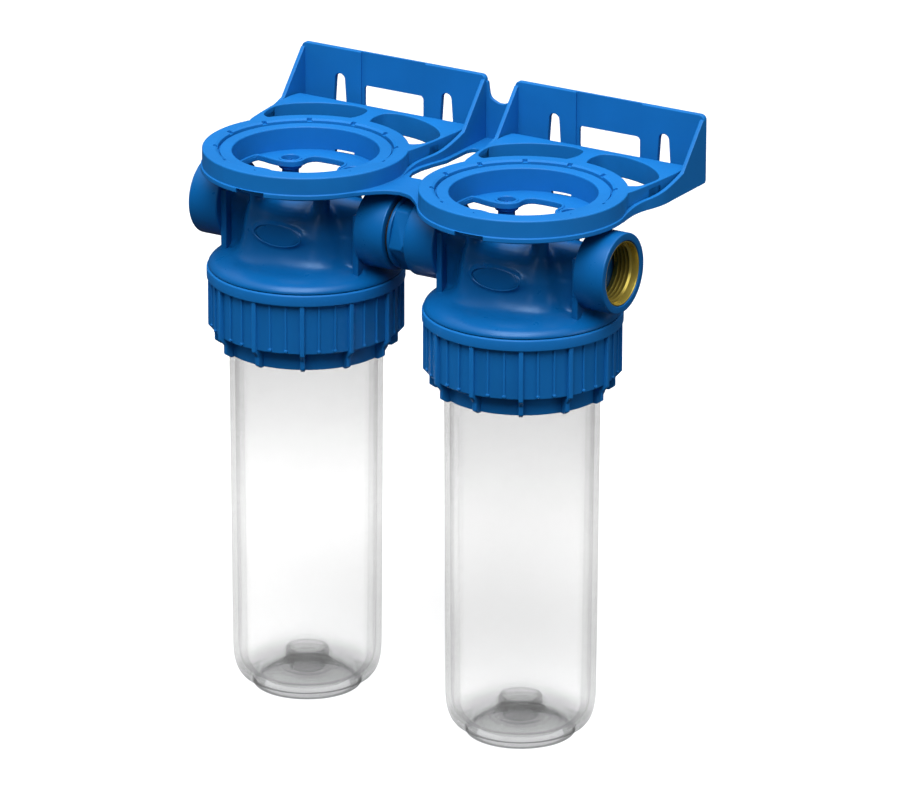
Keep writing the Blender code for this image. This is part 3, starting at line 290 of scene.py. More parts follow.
# Outlines
def rounded(points, closed=True, steps=5):
    """Outline with each corner (x, y, radius) replaced by an arc."""
    count = len(points)
    line = []
    for i, point in enumerate(points):
        here = Vector(point[:2])
        radius = point[2] if len(point) > 2 else 0
        ends = not closed and i in (0, count - 1)
        if radius == 0 or ends:
            line.append((here.x, here.y))
            continue
        to_last = Vector(points[i - 1][:2]) - here
        to_next = Vector(points[(i + 1) % count][:2]) - here
        room = min(to_last.length, to_next.length) * 0.48
        to_last.normalize()
        to_next.normalize()
        bend = to_last.angle(to_next, math.pi)
        if bend > math.pi - 0.02:
            line.append((here.x, here.y))
            continue
        reach = min(radius / math.tan(bend / 2), room)
        radius = reach * math.tan(bend / 2)
        centre = here + (to_last + to_next).normalized() * (radius / math.sin(bend / 2))
        start = here + to_last * reach - centre
        end = here + to_next * reach - centre
        turn = start.angle_signed(end)
        for step in range(steps + 1):
            arm = start.copy()
            arm.rotate(Matrix.Rotation(-turn * step / steps, 2))
            line.append((centre.x + arm.x, centre.y + arm.y))
    return line


def smooth_line(points, closed=False, steps=5):
    """Smooth line that passes through every point."""
    count = len(points)
    spans = count if closed else count - 1
    vectors = [Vector(point) for point in points]
    line = []
    for i in range(spans):
        if closed:
            a, b, c, d = (vectors[(i + shift) % count] for shift in (-1, 0, 1, 2))
        else:
            b, c = vectors[i], vectors[i + 1]
            a = vectors[i - 1] if i else b * 2 - c
            d = vectors[i + 2] if i + 2 < count else c * 2 - b
        for step in range(steps):
            t = step / steps
            line.append(tuple(0.5 * ((b * 2) + (c - a) * t + (a * 2 - b * 5 + c * 4 - d) * t ** 2
                                     + (b * 3 - a - c * 3 + d) * t ** 3)))
    if not closed:
        line.append(tuple(vectors[-1]))
    return line


def arc_points(centre, radius, start, end, steps):
    """Points on an arc."""
    return [(centre[0] + radius * math.cos(start + (end - start) * i / steps),
             centre[1] + radius * math.sin(start + (end - start) * i / steps)) for i in range(steps + 1)]


def grown(points, distance):
    """Closed outline moved outwards by a distance; a negative one moves it inwards."""
    vectors = [Vector(point[:2]) for point in points]
    area = sum(a.x * b.y - b.x * a.y for a, b in zip(vectors, vectors[1:] + vectors[:1]))
    sign = 1 if area > 0 else -1
    moved = []
    for i, here in enumerate(vectors):
        first = here - vectors[i - 1]
        second = vectors[(i + 1) % len(vectors)] - here
        normals = [Vector((edge.y, -edge.x)).normalized() * sign for edge in (first, second)]
        middle = (normals[0] + normals[1]).normalized()
        reach = distance / max(0.5, middle.dot(normals[0]))
        moved.append(tuple(here + middle * reach))
    return moved


def flipped(points):
    """An outline mirrored left to right."""
    return [(-x, y) for x, y in points]


def mirrored(points):
    """A right half outline with its mirror image."""
    return list(points) + flipped(reversed(points))


def rectangle(low, high, radii=(0, 0, 0, 0)):
    """Closed rectangle from its low and high corners, with a radius at each corner."""
    corners = (low, (high[0], low[1]), high, (low[0], high[1]))
    return rounded([corner + (radius,) for corner, radius in zip(corners, radii)])


# Modelling by hand
def only(piece):
    """Select one piece alone and make it active."""
    bpy.ops.object.select_all(action="DESELECT")
    piece.select_set(True)
    bpy.context.view_layer.objects.active = piece


@contextlib.contextmanager
def editing(piece, action="SELECT"):
    """Edit mode on one piece, with all of it selected or nothing."""
    only(piece)
    bpy.ops.object.mode_set(mode="EDIT")
    bpy.ops.mesh.select_all(action=action)
    yield
    bpy.ops.object.mode_set(mode="OBJECT")


def applied(piece):
    """Put a piece's place in its mesh."""
    only(piece)
    bpy.ops.object.transform_apply(location=True, rotation=True, scale=True)
    return piece


def modified(piece, kind, **settings):
    """Add a modifier with its settings and apply it."""
    modifier = piece.modifiers.new("change", kind)
    for key, value in settings.items():
        setattr(modifier, key, value)
    only(piece)
    bpy.ops.object.modifier_apply(modifier=modifier.name)
    return piece


def cleaned(piece, threshold=1e-6):
    """Merge doubles and turn every face outwards."""
    with editing(piece):
        bpy.ops.mesh.remove_doubles(threshold=threshold)
        bpy.ops.mesh.normals_make_consistent(inside=False)
    return piece


def drawn(name, points, closed):
    """Outline in the XZ plane, drawn by extruding one vertex from point to point."""
    bpy.ops.object.select_all(action="DESELECT")
    bpy.ops.mesh.primitive_plane_add(size=0.001, location=(0, 0, 0))
    piece = bpy.context.object
    piece.name = name
    with editing(piece):
        bpy.ops.mesh.merge(type="CENTER")
        bpy.ops.transform.translate(value=(points[0][0], 0, points[0][1]))
        for start, end in zip(points, points[1:]):
            step = (end[0] - start[0], 0, end[1] - start[1])
            bpy.ops.mesh.extrude_region_move(TRANSFORM_OT_translate={"value": step})
        if closed:
            mesh = bmesh.from_edit_mesh(piece.data)
            mesh.verts.ensure_lookup_table()
            mesh.verts[0].select = True
            mesh.select_flush_mode()
            bmesh.update_edit_mesh(piece.data)
            bpy.ops.mesh.edge_face_add()
    return piece


def turned(name, points, steps, closed=True, axis="Z"):
    """Turned piece: a profile of (radius, station, rounding) spun about Z, or X at the ports' level."""
    line = rounded(points, closed, 4)
    centre, direction = (0, 0, 0), (0, 0, 1)
    if axis == "X":
        line = [(station, radius + PORT_Z) for radius, station in line]
        centre, direction = (0, 0, PORT_Z), (1, 0, 0)
    piece = drawn(name, line, closed)
    with editing(piece):
        bpy.ops.mesh.spin(steps=steps, angle=math.tau, center=centre, axis=direction)
    return cleaned(piece)


def rod(name, radius, low, high, steps, axis="Z"):
    """Plain turned rod."""
    return turned(name, [(0, low), (radius, low), (radius, high), (0, high)], steps, False, axis)


def tube(name, inner, outer, low, high, roundings, steps, axis="Z"):
    """Turned tube with the rounding of each corner of its section."""
    corners = ((inner, low), (outer, low), (outer, high), (inner, high))
    profile = [corner + (rounding,) for corner, rounding in zip(corners, roundings)]
    return turned(name, profile, steps, True, axis)


def line_curve(name, lines, cyclic):
    """Curve object made of straight splines."""
    bpy.ops.object.select_all(action="DESELECT")
    bpy.ops.curve.primitive_bezier_circle_add(radius=0.001, location=(0, 0, 0))
    piece = bpy.context.object
    piece.name = name
    piece.data.splines.clear()
    for line in lines:
        spline = piece.data.splines.new("POLY")
        spline.points.add(len(line) - 1)
        for point, place in zip(spline.points, line):
            point.co = (*place, 1)
        spline.use_cyclic_u = cyclic
    return piece


PLANES = {
    "XY": Matrix.Identity(4),
    "XZ": Matrix(((1, 0, 0, 0), (0, 0, -1, 0), (0, 1, 0, 0), (0, 0, 0, 1))),
    "YZ": Matrix(((0, 0, 1, 0), (1, 0, 0, 0), (0, 1, 0, 0), (0, 0, 0, 1))),
}


def plate(name, outlines, low, high, plane="XY", rounding=0.0004, steps=2):
    """Plate with holes and rounded edges, from a flat curve."""
    piece = line_curve(name, [[(x, y, 0) for x, y in outline] for outline in outlines], True)
    curve = piece.data
    curve.dimensions = "2D"
    curve.fill_mode = "BOTH"
    curve.extrude = (high - low) / 2 - rounding
    curve.bevel_depth = rounding
    curve.bevel_resolution = steps
    curve.offset = -rounding
    only(piece)
    bpy.ops.object.convert(target="MESH")
    middle = (low + high) / 2
    shift = {"XY": (0, 0, middle), "XZ": (0, middle, 0), "YZ": (middle, 0, 0)}[plane]
    piece.matrix_world = Matrix.Translation(shift) @ PLANES[plane]
    return cleaned(applied(piece))


def cutter(name, low, high, bottom, top, plane="XY"):
    """Rectangular block that cuts a recess."""
    return plate(name, [rectangle(low, high)], bottom, top, plane, 0.0001, 1)


def joined(name, pieces):
    """Several pieces as one object."""
    only(pieces[0])
    for piece in pieces:
        piece.select_set(True)
    bpy.ops.object.join()
    pieces[0].name = name
    return pieces[0]


def combined(piece, tools, operation):
    """Apply a Boolean with each tool and remove the tool."""
    for tool in tools:
        modified(piece, "BOOLEAN", solver="MANIFOLD", operation=operation, object=tool)
        if not piece.data.vertices:
            raise RuntimeError("nothing is left of {} after {}".format(piece.name, tool.name))
        bpy.data.objects.remove(tool, do_unlink=True)
    return piece


def moved(piece, offset):
    """Move a piece and put its place in its mesh."""
    piece.location = offset
    return applied(piece)


def twin(piece, matrix):
    """A copy of a piece with its own mesh, placed by a matrix."""
    copy = piece.copy()
    copy.data = piece.data.copy()
    bpy.context.collection.objects.link(copy)
    copy.matrix_world = matrix
    return applied(copy)


def around(piece, count, starts=(0,)):
    """The piece repeated about the Z axis from each start angle, joined."""
    turns = [math.radians(start) + math.tau * i / count for start in starts for i in range(count)]
    copies = [twin(piece, Matrix.Rotation(turn, 4, "Z")) for turn in turns]
    bpy.data.objects.remove(piece, do_unlink=True)
    return joined("repeated", copies)


def at_posts(make):
    """One piece at each of a head's four screw posts."""
    return [moved(make(), (x, y, 0)) for x in (-POST_X, POST_X) for y in (-POST_Y, POST_Y)]


def shaded(piece, angle=34):
    """Smooth shading that keeps real edges crisp."""
    only(piece)
    bpy.ops.object.shade_smooth_by_angle(angle=math.radians(angle), keep_sharp_edges=False)
    return piece


def finish_piece(piece, name, material, body, node):
    """Name a piece, give it its material and its body, and let it stand for a node."""
    piece.name = name
    piece.data.materials.clear()
    piece.data.materials.append(MATERIALS[material])
    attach(piece, body)
    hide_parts(node)


def in_both_units(piece, base, material, body, node):
    """Set a piece in both units; body and node take the unit's side."""
    for side, x in SIDES:
        copy = twin(piece, Matrix.Translation((x, UNIT_Y, 0)))
        finish_piece(copy, base + "_" + side, material, body.format(side), node.format(side))
    bpy.data.objects.remove(piece, do_unlink=True)


# Materials
MATERIALS = {}

# Plain name, roughness, grain in mm, grain's depth, shine, drift of tone and tint of the shine
PLASTICS = {
    # Satin blue with a fine grain that softens every reflection
    "blue": ("blue_polypropylene", 0.40, 0.55, 0.35, 0.15, 0.06, (1, 1, 1)),
    # Deeper and glossier blue, with broad highlights that stay blue
    "head": ("deep_blue_polypropylene", 0.31, 0.80, 0.12, 0.45, 0.06, (0.50, 0.72, 1.0)),
    # Bright red that glows a little beside the blue
    "red": ("red_polypropylene", 0.30, 0.5, 0.2, 0.4, 0.06, (1, 1, 1)),
    # Dull black that shows only soft edges
    "rubber": ("nitrile_rubber", 0.62, 0.3, 0.5, 0.3, 0.06, (1, 1, 1)),
    # Even off-white with a waxy sheen
    "white": ("white_acetal", 0.42, 0.4, 0.2, 0.4, 0.02, (1, 1, 1)),
    # Glossy blue coat over steel
    "coat": ("blue_coated_steel", 0.30, 0.4, 0.2, 0.5, 0.06, (1, 1, 1)),
}

# Clear bowl: share of plain film in the wall, its light on upright and level faces, and painted shade at the
# foot and, under the collar, at the top
FILM_SHARE = 0.7
FILM_UPRIGHT = 0.966
FILM_LEVEL = 0.85
# Painted shade at the foot: how dark, and the heights it fades over
FOOT_DARK = 0.55
FOOT_DARK_LOW = 0.001
FOOT_DARK_HIGH = 0.012
# Painted shade under the collar: how dark and grey the top gets, and the heights it fades over
TOP_DARK = 0.84
TOP_SHADE_TONE = 0.91
TOP_DARK_LOW = 0.090
TOP_DARK_HIGH = 0.205


def linear(value):
    """One sRGB channel as linear light."""
    return value / 12.92 if value <= 0.04045 else ((value + 0.055) / 1.055) ** 2.4


def hex_colour(code):
    """Linear colour from a hex code."""
    return tuple(linear(int(code[i:i + 2], 16) / 255) for i in (1, 3, 5))


def toned(colour, factor):
    """A colour made darker or lighter, with full alpha."""
    return tuple(min(1, channel * factor) for channel in colour) + (1,)


def add_node(tree, kind, inputs=None, **settings):
    """Add a node, set its values and link its inputs."""
    node = tree.nodes.new(kind)
    for key, value in settings.items():
        setattr(node, key, value)
    for key, value in (inputs or {}).items():
        if isinstance(value, bpy.types.NodeSocket):
            tree.links.new(value, node.inputs[key])
        else:
            node.inputs[key].default_value = value
    return node


def noise(tree, place, scale, detail):
    """Cloudy pattern at a scale."""
    inputs = {"Vector": place, "Scale": scale, "Detail": detail}
    return add_node(tree, "ShaderNodeTexNoise", inputs).outputs["Fac"]


def ranged(tree, value, low, high, start=0.0, end=1.0, **settings):
    """A value between start and end, brought to between low and high."""
    inputs = {"Value": value, "From Min": start, "From Max": end, "To Min": low, "To Max": high}
    return add_node(tree, "ShaderNodeMapRange", inputs, **settings).outputs["Result"]


def worked_out(tree, operation, first, second=0.0):
    """Result of one operation on values."""
    return add_node(tree, "ShaderNodeMath", {0: first, 1: second}, operation=operation).outputs["Value"]


def mixed(tree, share, first, second, kind="RGBA"):
    """Mix of two colours, or of two values."""
    start, output = (6, 2) if kind == "RGBA" else (2, 0)
    inputs = {0: share, start: first, start + 1: second}
    return add_node(tree, "ShaderNodeMix", inputs, data_type=kind).outputs[output]


def ramp(tree, value, dark, light, places=(0.3, 0.7)):
    """Colour between a dark and a light tone."""
    node = add_node(tree, "ShaderNodeValToRGB", {"Fac": value})
    for element, place, colour in zip(node.color_ramp.elements, places, (dark, light)):
        element.position = place
        element.color = colour
    return node.outputs["Color"]


def bump(tree, height, strength, distance):
    """Normals that follow a height."""
    return add_node(tree, "ShaderNodeBump", {"Height": height, "Strength": strength,
                    "Distance": distance}).outputs["Normal"]


def new_material(name):
    """Empty material, its tree and the object's coordinates."""
    material = bpy.data.materials.new(name)
    material.use_nodes = True
    tree = material.node_tree
    tree.nodes.clear()
    return material, tree, add_node(tree, "ShaderNodeTexCoord").outputs["Object"]


def shown(tree, kind, inputs, output="ShaderNodeOutputMaterial"):
    """Put a shader on the tree's output."""
    add_node(tree, output, {"Surface": add_node(tree, kind, inputs).outputs[0]})


def moulded_plastic(name, colour, roughness, grain_mm, grain_deep, specular, tone, shine):
    """Moulded plastic: slight colour drift, uneven sheen and a fine eroded grain."""
    material, tree, place = new_material(name)
    shown(tree, "ShaderNodeBsdfPrincipled", {
        "Base Color": ramp(tree, noise(tree, place, 28.0, 3.0), toned(colour, 1 - tone),
                           toned(colour, 1 + tone)),
        "Roughness": ranged(tree, noise(tree, place, 160.0, 4.0), roughness * 0.88, roughness * 1.12,
                            0.3, 0.7),
        "Normal": bump(tree, noise(tree, place, 1000 / grain_mm, 2.0), grain_deep, 0.00006),
        "Specular IOR Level": specular, "Specular Tint": shine + (1,)})
    return material


def clear_plastic(name, colour):
    """Clear styrene: lets light through, greyer where it is level, with painted shade towards the top under
    the collar and at the foot.
    """
    material, tree, place = new_material(name)
    ripple = noise(tree, place, 45.0, 2.0)
    level = add_node(tree, "ShaderNodeSeparateXYZ", {0: place}).outputs["Z"]
    normal = add_node(tree, "ShaderNodeNewGeometry").outputs["Normal"]
    facing = add_node(tree, "ShaderNodeSeparateXYZ", {0: normal}).outputs["Z"]
    # Painted shade under the collar: the wall gets greyer and darker towards the bowl's top
    collar_shade = ranged(tree, level, 0.0, 1.0, TOP_DARK_LOW, TOP_DARK_HIGH, interpolation_type="SMOOTHSTEP")
    glass = add_node(tree, "ShaderNodeBsdfPrincipled", {
        "Base Color": mixed(tree, collar_shade, colour + (1,), toned(colour, TOP_SHADE_TONE)),
        "Roughness": ranged(tree, ripple, 0.02, 0.06), "Normal": bump(tree, ripple, 0.25, 0.0002),
        "Transmission Weight": 1.0, "IOR": 1.12}).outputs[0]
    film = ranged(tree, worked_out(tree, "ABSOLUTE", facing), FILM_UPRIGHT, FILM_LEVEL)
    # Painted shade at the foot: darker towards the bottom of the bowl
    foot = ranged(tree, level, FOOT_DARK, 1.0, FOOT_DARK_LOW, FOOT_DARK_HIGH)
    grey = worked_out(tree, "MULTIPLY", film, foot)
    grey = worked_out(tree, "MULTIPLY", grey, ranged(tree, collar_shade, 1.0, TOP_DARK))
    through = add_node(tree, "ShaderNodeBsdfTransparent", {"Color": grey}).outputs[0]
    wall = add_node(tree, "ShaderNodeMixShader", {0: FILM_SHARE, 1: glass, 2: through}).outputs[0]
    pale = add_node(tree, "ShaderNodeBsdfTransparent", {"Color": (0.97, 0.975, 0.98, 1)}).outputs[0]
    shadow = add_node(tree, "ShaderNodeLightPath").outputs["Is Shadow Ray"]
    shown(tree, "ShaderNodeMixShader", {0: shadow, 1: wall, 2: pale})
    return material


def turned_brass(name, colour):
    """Machined brass: fine tool marks, tarnished patches and painted shade darkening the roots of the thread.
    """
    material, tree, place = new_material(name)
    patches = noise(tree, place, 60.0, 3.0)
    tint = ramp(tree, patches, toned(colour, 0.93), toned(colour, 1.05))
    radius = place
    for operation, value in (("ADD", (0, -UNIT_Y, -PORT_Z)), ("MULTIPLY", (0, 1, 1))):
        radius = add_node(tree, "ShaderNodeVectorMath", {0: radius, 1: value},
                          operation=operation).outputs["Vector"]
    radius = add_node(tree, "ShaderNodeVectorMath", {0: radius}, operation="LENGTH").outputs["Value"]
    # Painted shade: darker towards the roots of the thread, only along the threaded length of the bore
    deep = ranged(tree, radius, 0.0, 1.0, INSERT_MINOR + HAIR, INSERT_MOUTH - INSERT_LIP)
    across = add_node(tree, "ShaderNodeSeparateXYZ", {0: place}).outputs["X"]
    reach = worked_out(tree, "SUBTRACT", worked_out(tree, "ABSOLUTE", across), UNIT_X)
    threaded = worked_out(tree, "LESS_THAN", worked_out(tree, "ABSOLUTE", reach), INSERT_FACE - 0.0042)
    root_shade = worked_out(tree, "MULTIPLY", deep, threaded)
    marks = add_node(tree, "ShaderNodeTexWave", {"Vector": place, "Scale": 900.0, "Distortion": 0.6,
                     "Detail": 2.0}, bands_direction="X").outputs["Fac"]
    shown(tree, "ShaderNodeBsdfPrincipled", {
        "Base Color": mixed(tree, root_shade, tint, toned(colour, 0.55)), "Metallic": 0.7,
        "Roughness": ranged(tree, patches, 0.20, 0.30), "Normal": bump(tree, marks, 0.15, 0.00003)})
    return material


def drawn_steel(name, colour):
    """Bright drawn wire or stamped steel with faint streaks."""
    material, tree, place = new_material(name)
    streaks = noise(tree, place, 900.0, 3.0)
    shown(tree, "ShaderNodeBsdfPrincipled", {
        "Base Color": colour + (1,), "Metallic": 1.0, "Roughness": ranged(tree, streaks, 0.22, 0.40),
        "Normal": bump(tree, streaks, 0.2, 0.00003)})
    return material


# Settings
def length(name, description, default, precision=4):
    """A length that can be changed in the panel."""
    return FloatProperty(name=name, description=description, default=default, unit="LENGTH",
                         precision=precision)


def colour(name, description, default):
    """A colour that can be changed in the panel."""
    return FloatVectorProperty(name=name, description=description, subtype="COLOR", default=default, min=0,
                               max=1)


class FILTER_PG_sizes(PropertyGroup):
    """Sizes that change the look without changing the outside."""
    edge: length("Edge rounding", "Radius on the back plates' edges", 0.0005)
    voxel: length("Head mesh", "Size of the faces on the blended head", 0.0009, 5)
    post_blend: length("Post blend", "How softly the screw posts run into the neck", 0.0160)
    body_steps: IntProperty(name="Round steps", description="Faces round the large turned pieces",
                            default=160)
    bore_steps: IntProperty(name="Bore steps", description="Faces round the small turned pieces", default=96)
    thread_pitch: length("Pipe thread pitch", "Pitch of the brass threads", 0.0023)


class FILTER_PG_colours(PropertyGroup):
    """Colours of the materials, as linear light."""
    blue: colour("Blue", "Moulded blue plastic", hex_colour("#1569b1"))
    head: colour("Head blue", "Moulded plastic of the heads", hex_colour("#07599a"))
    clear: colour("Clear", "Clear bowl", (0.86, 0.86, 0.86))
    brass: colour("Brass", "Threaded inserts", hex_colour("#c4b052"))
    red: colour("Red", "Vent buttons", hex_colour("#d81418"))
    rubber: colour("Rubber", "O-rings and seals", hex_colour("#1c1c1e"))
    white: colour("White", "Slip rings", hex_colour("#e6e6e0"))
    steel: colour("Steel", "Springs and washers", hex_colour("#c8c9cb"))
    coat: colour("Screw coating", "Blue coat on the screws", hex_colour("#1a5cae"))
    floor: colour("Floor", "Studio floor", (0.80, 0.80, 0.80))


class FILTER_OT_materials(Operator):
    """Make the materials of plastic, brass, rubber and steel"""
    bl_idname = "filter.materials"
    bl_label = "Materials"

    def execute(self, context):
        colours = context.scene.filter_colours
        for key, (name, *settings) in PLASTICS.items():
            MATERIALS[key] = moulded_plastic(name, tuple(getattr(colours, key)), *settings)
        MATERIALS["clear"] = clear_plastic("clear_styrene", tuple(colours.clear))
        MATERIALS["brass"] = turned_brass("machined_brass", tuple(colours.brass))
        MATERIALS["steel"] = drawn_steel("spring_steel", tuple(colours.steel))
        return {"FINISHED"}
# Bowls
class FILTER_OT_bowls(Operator):
    """Turn the clear bowls with their feet and cartridge sockets"""
    bl_idname = "filter.bowls"
    bl_label = "Clear bowls"

    def execute(self, context):
        steps = context.scene.filter_sizes.body_steps
        inner = BOWL_R - BOWL_WALL
        foot_bore = FOOT_R - FOOT_RIM
        wide = BOWL_LOW_R - BOWL_WALL - SOCKET_R
        rise = CORNER_RISE - (BOWL_FLOOR - FOOT_HIGH)
        corner = [(FOOT_R + (BOWL_LOW_R - FOOT_R) * x, FOOT_HIGH + CORNER_RISE * z) for x, z in CORNER_SHARES]
        inside = [(SOCKET_R + wide * (0.55 + 0.45 * x), BOWL_FLOOR + rise * z)
                  for x, z in reversed(CORNER_SHARES[1:])]
        bowl = turned("bowl", [
            (0, FOOT_ROOF), (0.0130, FOOT_ROOF), (foot_bore - 0.001, FOOT_HIGH, 0.0008),
            (foot_bore, 0.0, 0.0007),
            (FOOT_R, 0.0, 0.0009), (FOOT_R, FOOT_HIGH, 0.0006), *corner, (BOWL_R, BOWL_REACH),
            (BOWL_R, FLANGE_LOW, 0.0006), (FLANGE_R, FLANGE_LOW, 0.0004), (FLANGE_R, FLANGE_TOP, 0.0004),
            (SPIGOT_R, FLANGE_TOP, 0.0003), (SPIGOT_R, GROOVE_LOW, 0.0002), (GROOVE_R, GROOVE_LOW, 0.0003),
            (GROOVE_R, GROOVE_TOP, 0.0003), (SPIGOT_R, GROOVE_TOP, 0.0002), (SPIGOT_R, SPIGOT_TOP, 0.0008),
            (inner, SPIGOT_TOP, 0.0006), (inner, BOWL_REACH), *inside, (0.0262, BOWL_FLOOR, 0.0030),
            (0.0174, BOWL_FLOOR, 0.0004), (0.0168, STEP_IN_FLOOR, 0.0005), (0.0148, STEP_IN_FLOOR, 0.0005),
            (0.0142, BOWL_FLOOR, 0.0004), (SOCKET_R, BOWL_FLOOR, 0.0006), (SOCKET_R, SOCKET_TOP, 0.0006),
            (SOCKET_BORE, SOCKET_TOP, 0.0006), (SOCKET_BORE, BOWL_FLOOR, 0.0006), (0, BOWL_FLOOR)], steps,
            False)
        shaded(bowl, 40)
        in_both_units(bowl, "bowl", "clear", "{}_bowl", "bowl_{}")
        middle = (GROOVE_R + HAIR + ORING_CORD, (GROOVE_LOW + GROOVE_TOP) / 2)
        ring = turned("oring", arc_points(middle, ORING_CORD, 0, math.tau * 15 / 16, 15), steps)
        shaded(ring, 60)
        in_both_units(ring, "bowl_oring", "rubber", "{}_bowl", "bowl_oring_{}")
        slip = tube("slip", LOWER_BORE + HAIR, FLANGE_R - HAIR, SLIP_LOW, SLIP_HIGH,
                    (0.0002, 0.0003, 0.0003, 0.0002), steps)
        shaded(slip, 40)
        in_both_units(slip, "slip_ring", "white", "{}_bowl", "slip_ring_{}")
        return {"FINISHED"}


def thread_ridge(name, root, crest, root_wide, crest_wide, start, pitch, turns, steps=96):
    """Helical ridge: a closed section swept by a Screw modifier, with its ends closed."""
    section = [(root, start - root_wide / 2), (crest, start - crest_wide / 2),
               (crest, start + crest_wide / 2), (root, start + root_wide / 2)]
    ridge = modified(drawn(name, section, True), "SCREW", axis="Z", angle=math.tau * turns,
                     screw_offset=pitch * turns, steps=int(steps * turns), render_steps=int(steps * turns),
                     use_merge_vertices=False)
    with editing(ridge, "DESELECT"):
        bpy.ops.mesh.select_non_manifold()
        bpy.ops.mesh.fill_holes(sides=8)
    return cleaned(ridge)


# Collars
class FILTER_OT_collars(Operator):
    """Turn the collar nuts and set their ribs, fins and thread"""
    bl_idname = "filter.collars"
    bl_label = "Collar nuts"

    def execute(self, context):
        body = turned("collar", [
            (COLLAR_BORE + CLEAR, COLLAR_TOP, 0.0003), (BAND_R, COLLAR_TOP, 0.0009),
            (BAND_R, BAND_LOW, 0.0006),
            (FLUTE_R, BAND_LOW - SINK, 0.0003), (FLUTE_R, GRIP_LOW, 0.0007),
            (LOWER_R, GRIP_LOW - SINK, 0.0006),
            (LOWER_R - 0.0002, BOWL_REACH, 0.0005), (LOWER_BORE, BOWL_REACH, 0.0003),
            (LOWER_BORE, LEDGE_TOP, 0.0002), (COLLAR_BORE, LEDGE_TOP, 0.0003),
            (COLLAR_BORE, COLLAR_TOP - CLEAR, 0.0002)], RING_STEPS)
        root = FLUTE_R - SINK
        rib = plate("rib", [rounded([
            (LOWER_R - SINK, FIN_LOW, 0.0002), (FIN_TIP_R, FIN_LOW, 0.0006),
            (FIN_R, FIN_LOW + FIN_TIP_HIGH, 0.0010),
            (FIN_R, FIN_TOP, 0.0010), (RIB_R, RIB_LOW, 0.0010), (RIB_R, BAND_LOW + 0.0005),
            (root, BAND_LOW + 0.0005), (root, GRIP_LOW + CLEAR), (LOWER_R - SINK, GRIP_LOW + CLEAR)])],
            -RIB_WIDE / 2, RIB_WIDE / 2, "XZ", 0.0005)
        thin = plate("thin_rib", [rounded([
            (root, THIN_LOW, 0.0002), (THIN_R - 0.0005, THIN_LOW, 0.0004),
            (THIN_R, THIN_LOW + 0.0016, 0.0004),
            (THIN_R, BAND_LOW + 0.0004), (root, BAND_LOW + 0.0004)])], -THIN_WIDE / 2, THIN_WIDE / 2, "XZ",
            0.0003)
        dot = turned("dot", [(0, 0.0), (0.0010, 0.0, 0.0003), (0.0010, 0.0014, 0.0004), (0, 0.0016)], 16,
                     False)
        dot.matrix_world = Matrix.Translation((FLUTE_R - 0.0003, 0, THIN_LOW + 0.0004)) @ Matrix.Rotation(
            math.pi / 2, 4, "Y")
        ridge = thread_ridge("nut_thread", COLLAR_BORE + CLEAR, SKIRT_R + 0.0009, RIDGE_ROOT, RIDGE_CREST,
                             SKIRT_LOW + 0.0090, THREAD_PITCH, 1.0)
        collar = joined("collar", [body, around(rib, SECTORS), ridge, around(thin, SECTORS, THIN_STARTS),
                                   around(applied(dot), SECTORS, THIN_STARTS)])
        in_both_units(shaded(collar), "collar", "blue", "{}_collar", "collar_{}")
        return {"FINISHED"}
# Heads
def blend(first, second, width):
    """Smooth union of two distances."""
    share = numpy.clip(0.5 + 0.5 * (second - first) / width, 0, 1)
    return second + (first - second) * share - width * share * (1 - share)


def outline_distance(r, z, line):
    """Signed distance from points to a closed outline in the (r, z) plane."""
    best = numpy.full(r.shape, 1e9)
    inside = numpy.zeros(r.shape, bool)
    for (ax, az), (bx, bz) in zip(line, line[1:] + line[:1]):
        ex, ez = bx - ax, bz - az
        wx, wz = r - ax, z - az
        t = numpy.clip((wx * ex + wz * ez) / max(ex * ex + ez * ez, 1e-18), 0, 1)
        best = numpy.minimum(best, (wx - ex * t) ** 2 + (wz - ez * t) ** 2)
        crosses = ((az > z) != (bz > z)) & (r < (bx - ax) * (z - az) / (bz - az if bz != az else 1e-18) + ax)
        inside ^= crosses
    return numpy.where(inside, -1, 1) * numpy.sqrt(best)


def rod_distance(across, along, radius, low, high, edge=0.0008):
    """Distance to a rod with softened ends."""
    side = across - radius + edge
    end = numpy.maximum(low - along, along - high) + edge
    outside = numpy.sqrt(numpy.maximum(side, 0) ** 2 + numpy.maximum(end, 0) ** 2)
    return outside + numpy.minimum(numpy.maximum(side, end), 0) - edge


def box_distance(x, y, z, low, high, edge):
    """Distance to a box with rounded edges."""
    gaps = [numpy.maximum(lo - v, v - hi) + edge for v, lo, hi in zip((x, y, z), low, high)]
    outside = numpy.sqrt(sum(numpy.maximum(gap, 0) ** 2 for gap in gaps))
    return outside + numpy.minimum(numpy.maximum(numpy.maximum(*gaps[:2]), gaps[2]), 0) - edge


def head_outline():
    """Turned outline of the head from the dome's top to well below the rim."""
    line = [(0.0, DOME_TOP)]
    for i in range(1, 13):
        angle = math.pi / 2 * i / 12
        line.append((NECK_R * math.sin(angle), DOME_BASE + (DOME_TOP - DOME_BASE) * math.cos(angle)))
    for i in range(0, 17):
        angle = math.pi / 2 * i / 17
        line.append((NECK_R + (CREASE_R - NECK_R) * (1 - math.cos(angle)),
                     FLARE_TOP - (FLARE_TOP - CREASE_Z) * math.sin(angle)))
    shoulder = [(CREASE_R + (RIM_R - CREASE_R) * out, RIM_LOW + (CREASE_Z - RIM_LOW) * up)
                for out, up in SHOULDER_SHARES[:-1]]
    line += smooth_line(shoulder, False, 5)
    line += [(RIM_R - 0.0002, RIM_LOW + 0.0010), (RIM_R, RIM_LOW), (RIM_R, RIM_LOW - 0.006),
             (0.0, RIM_LOW - 0.006)]
    return line


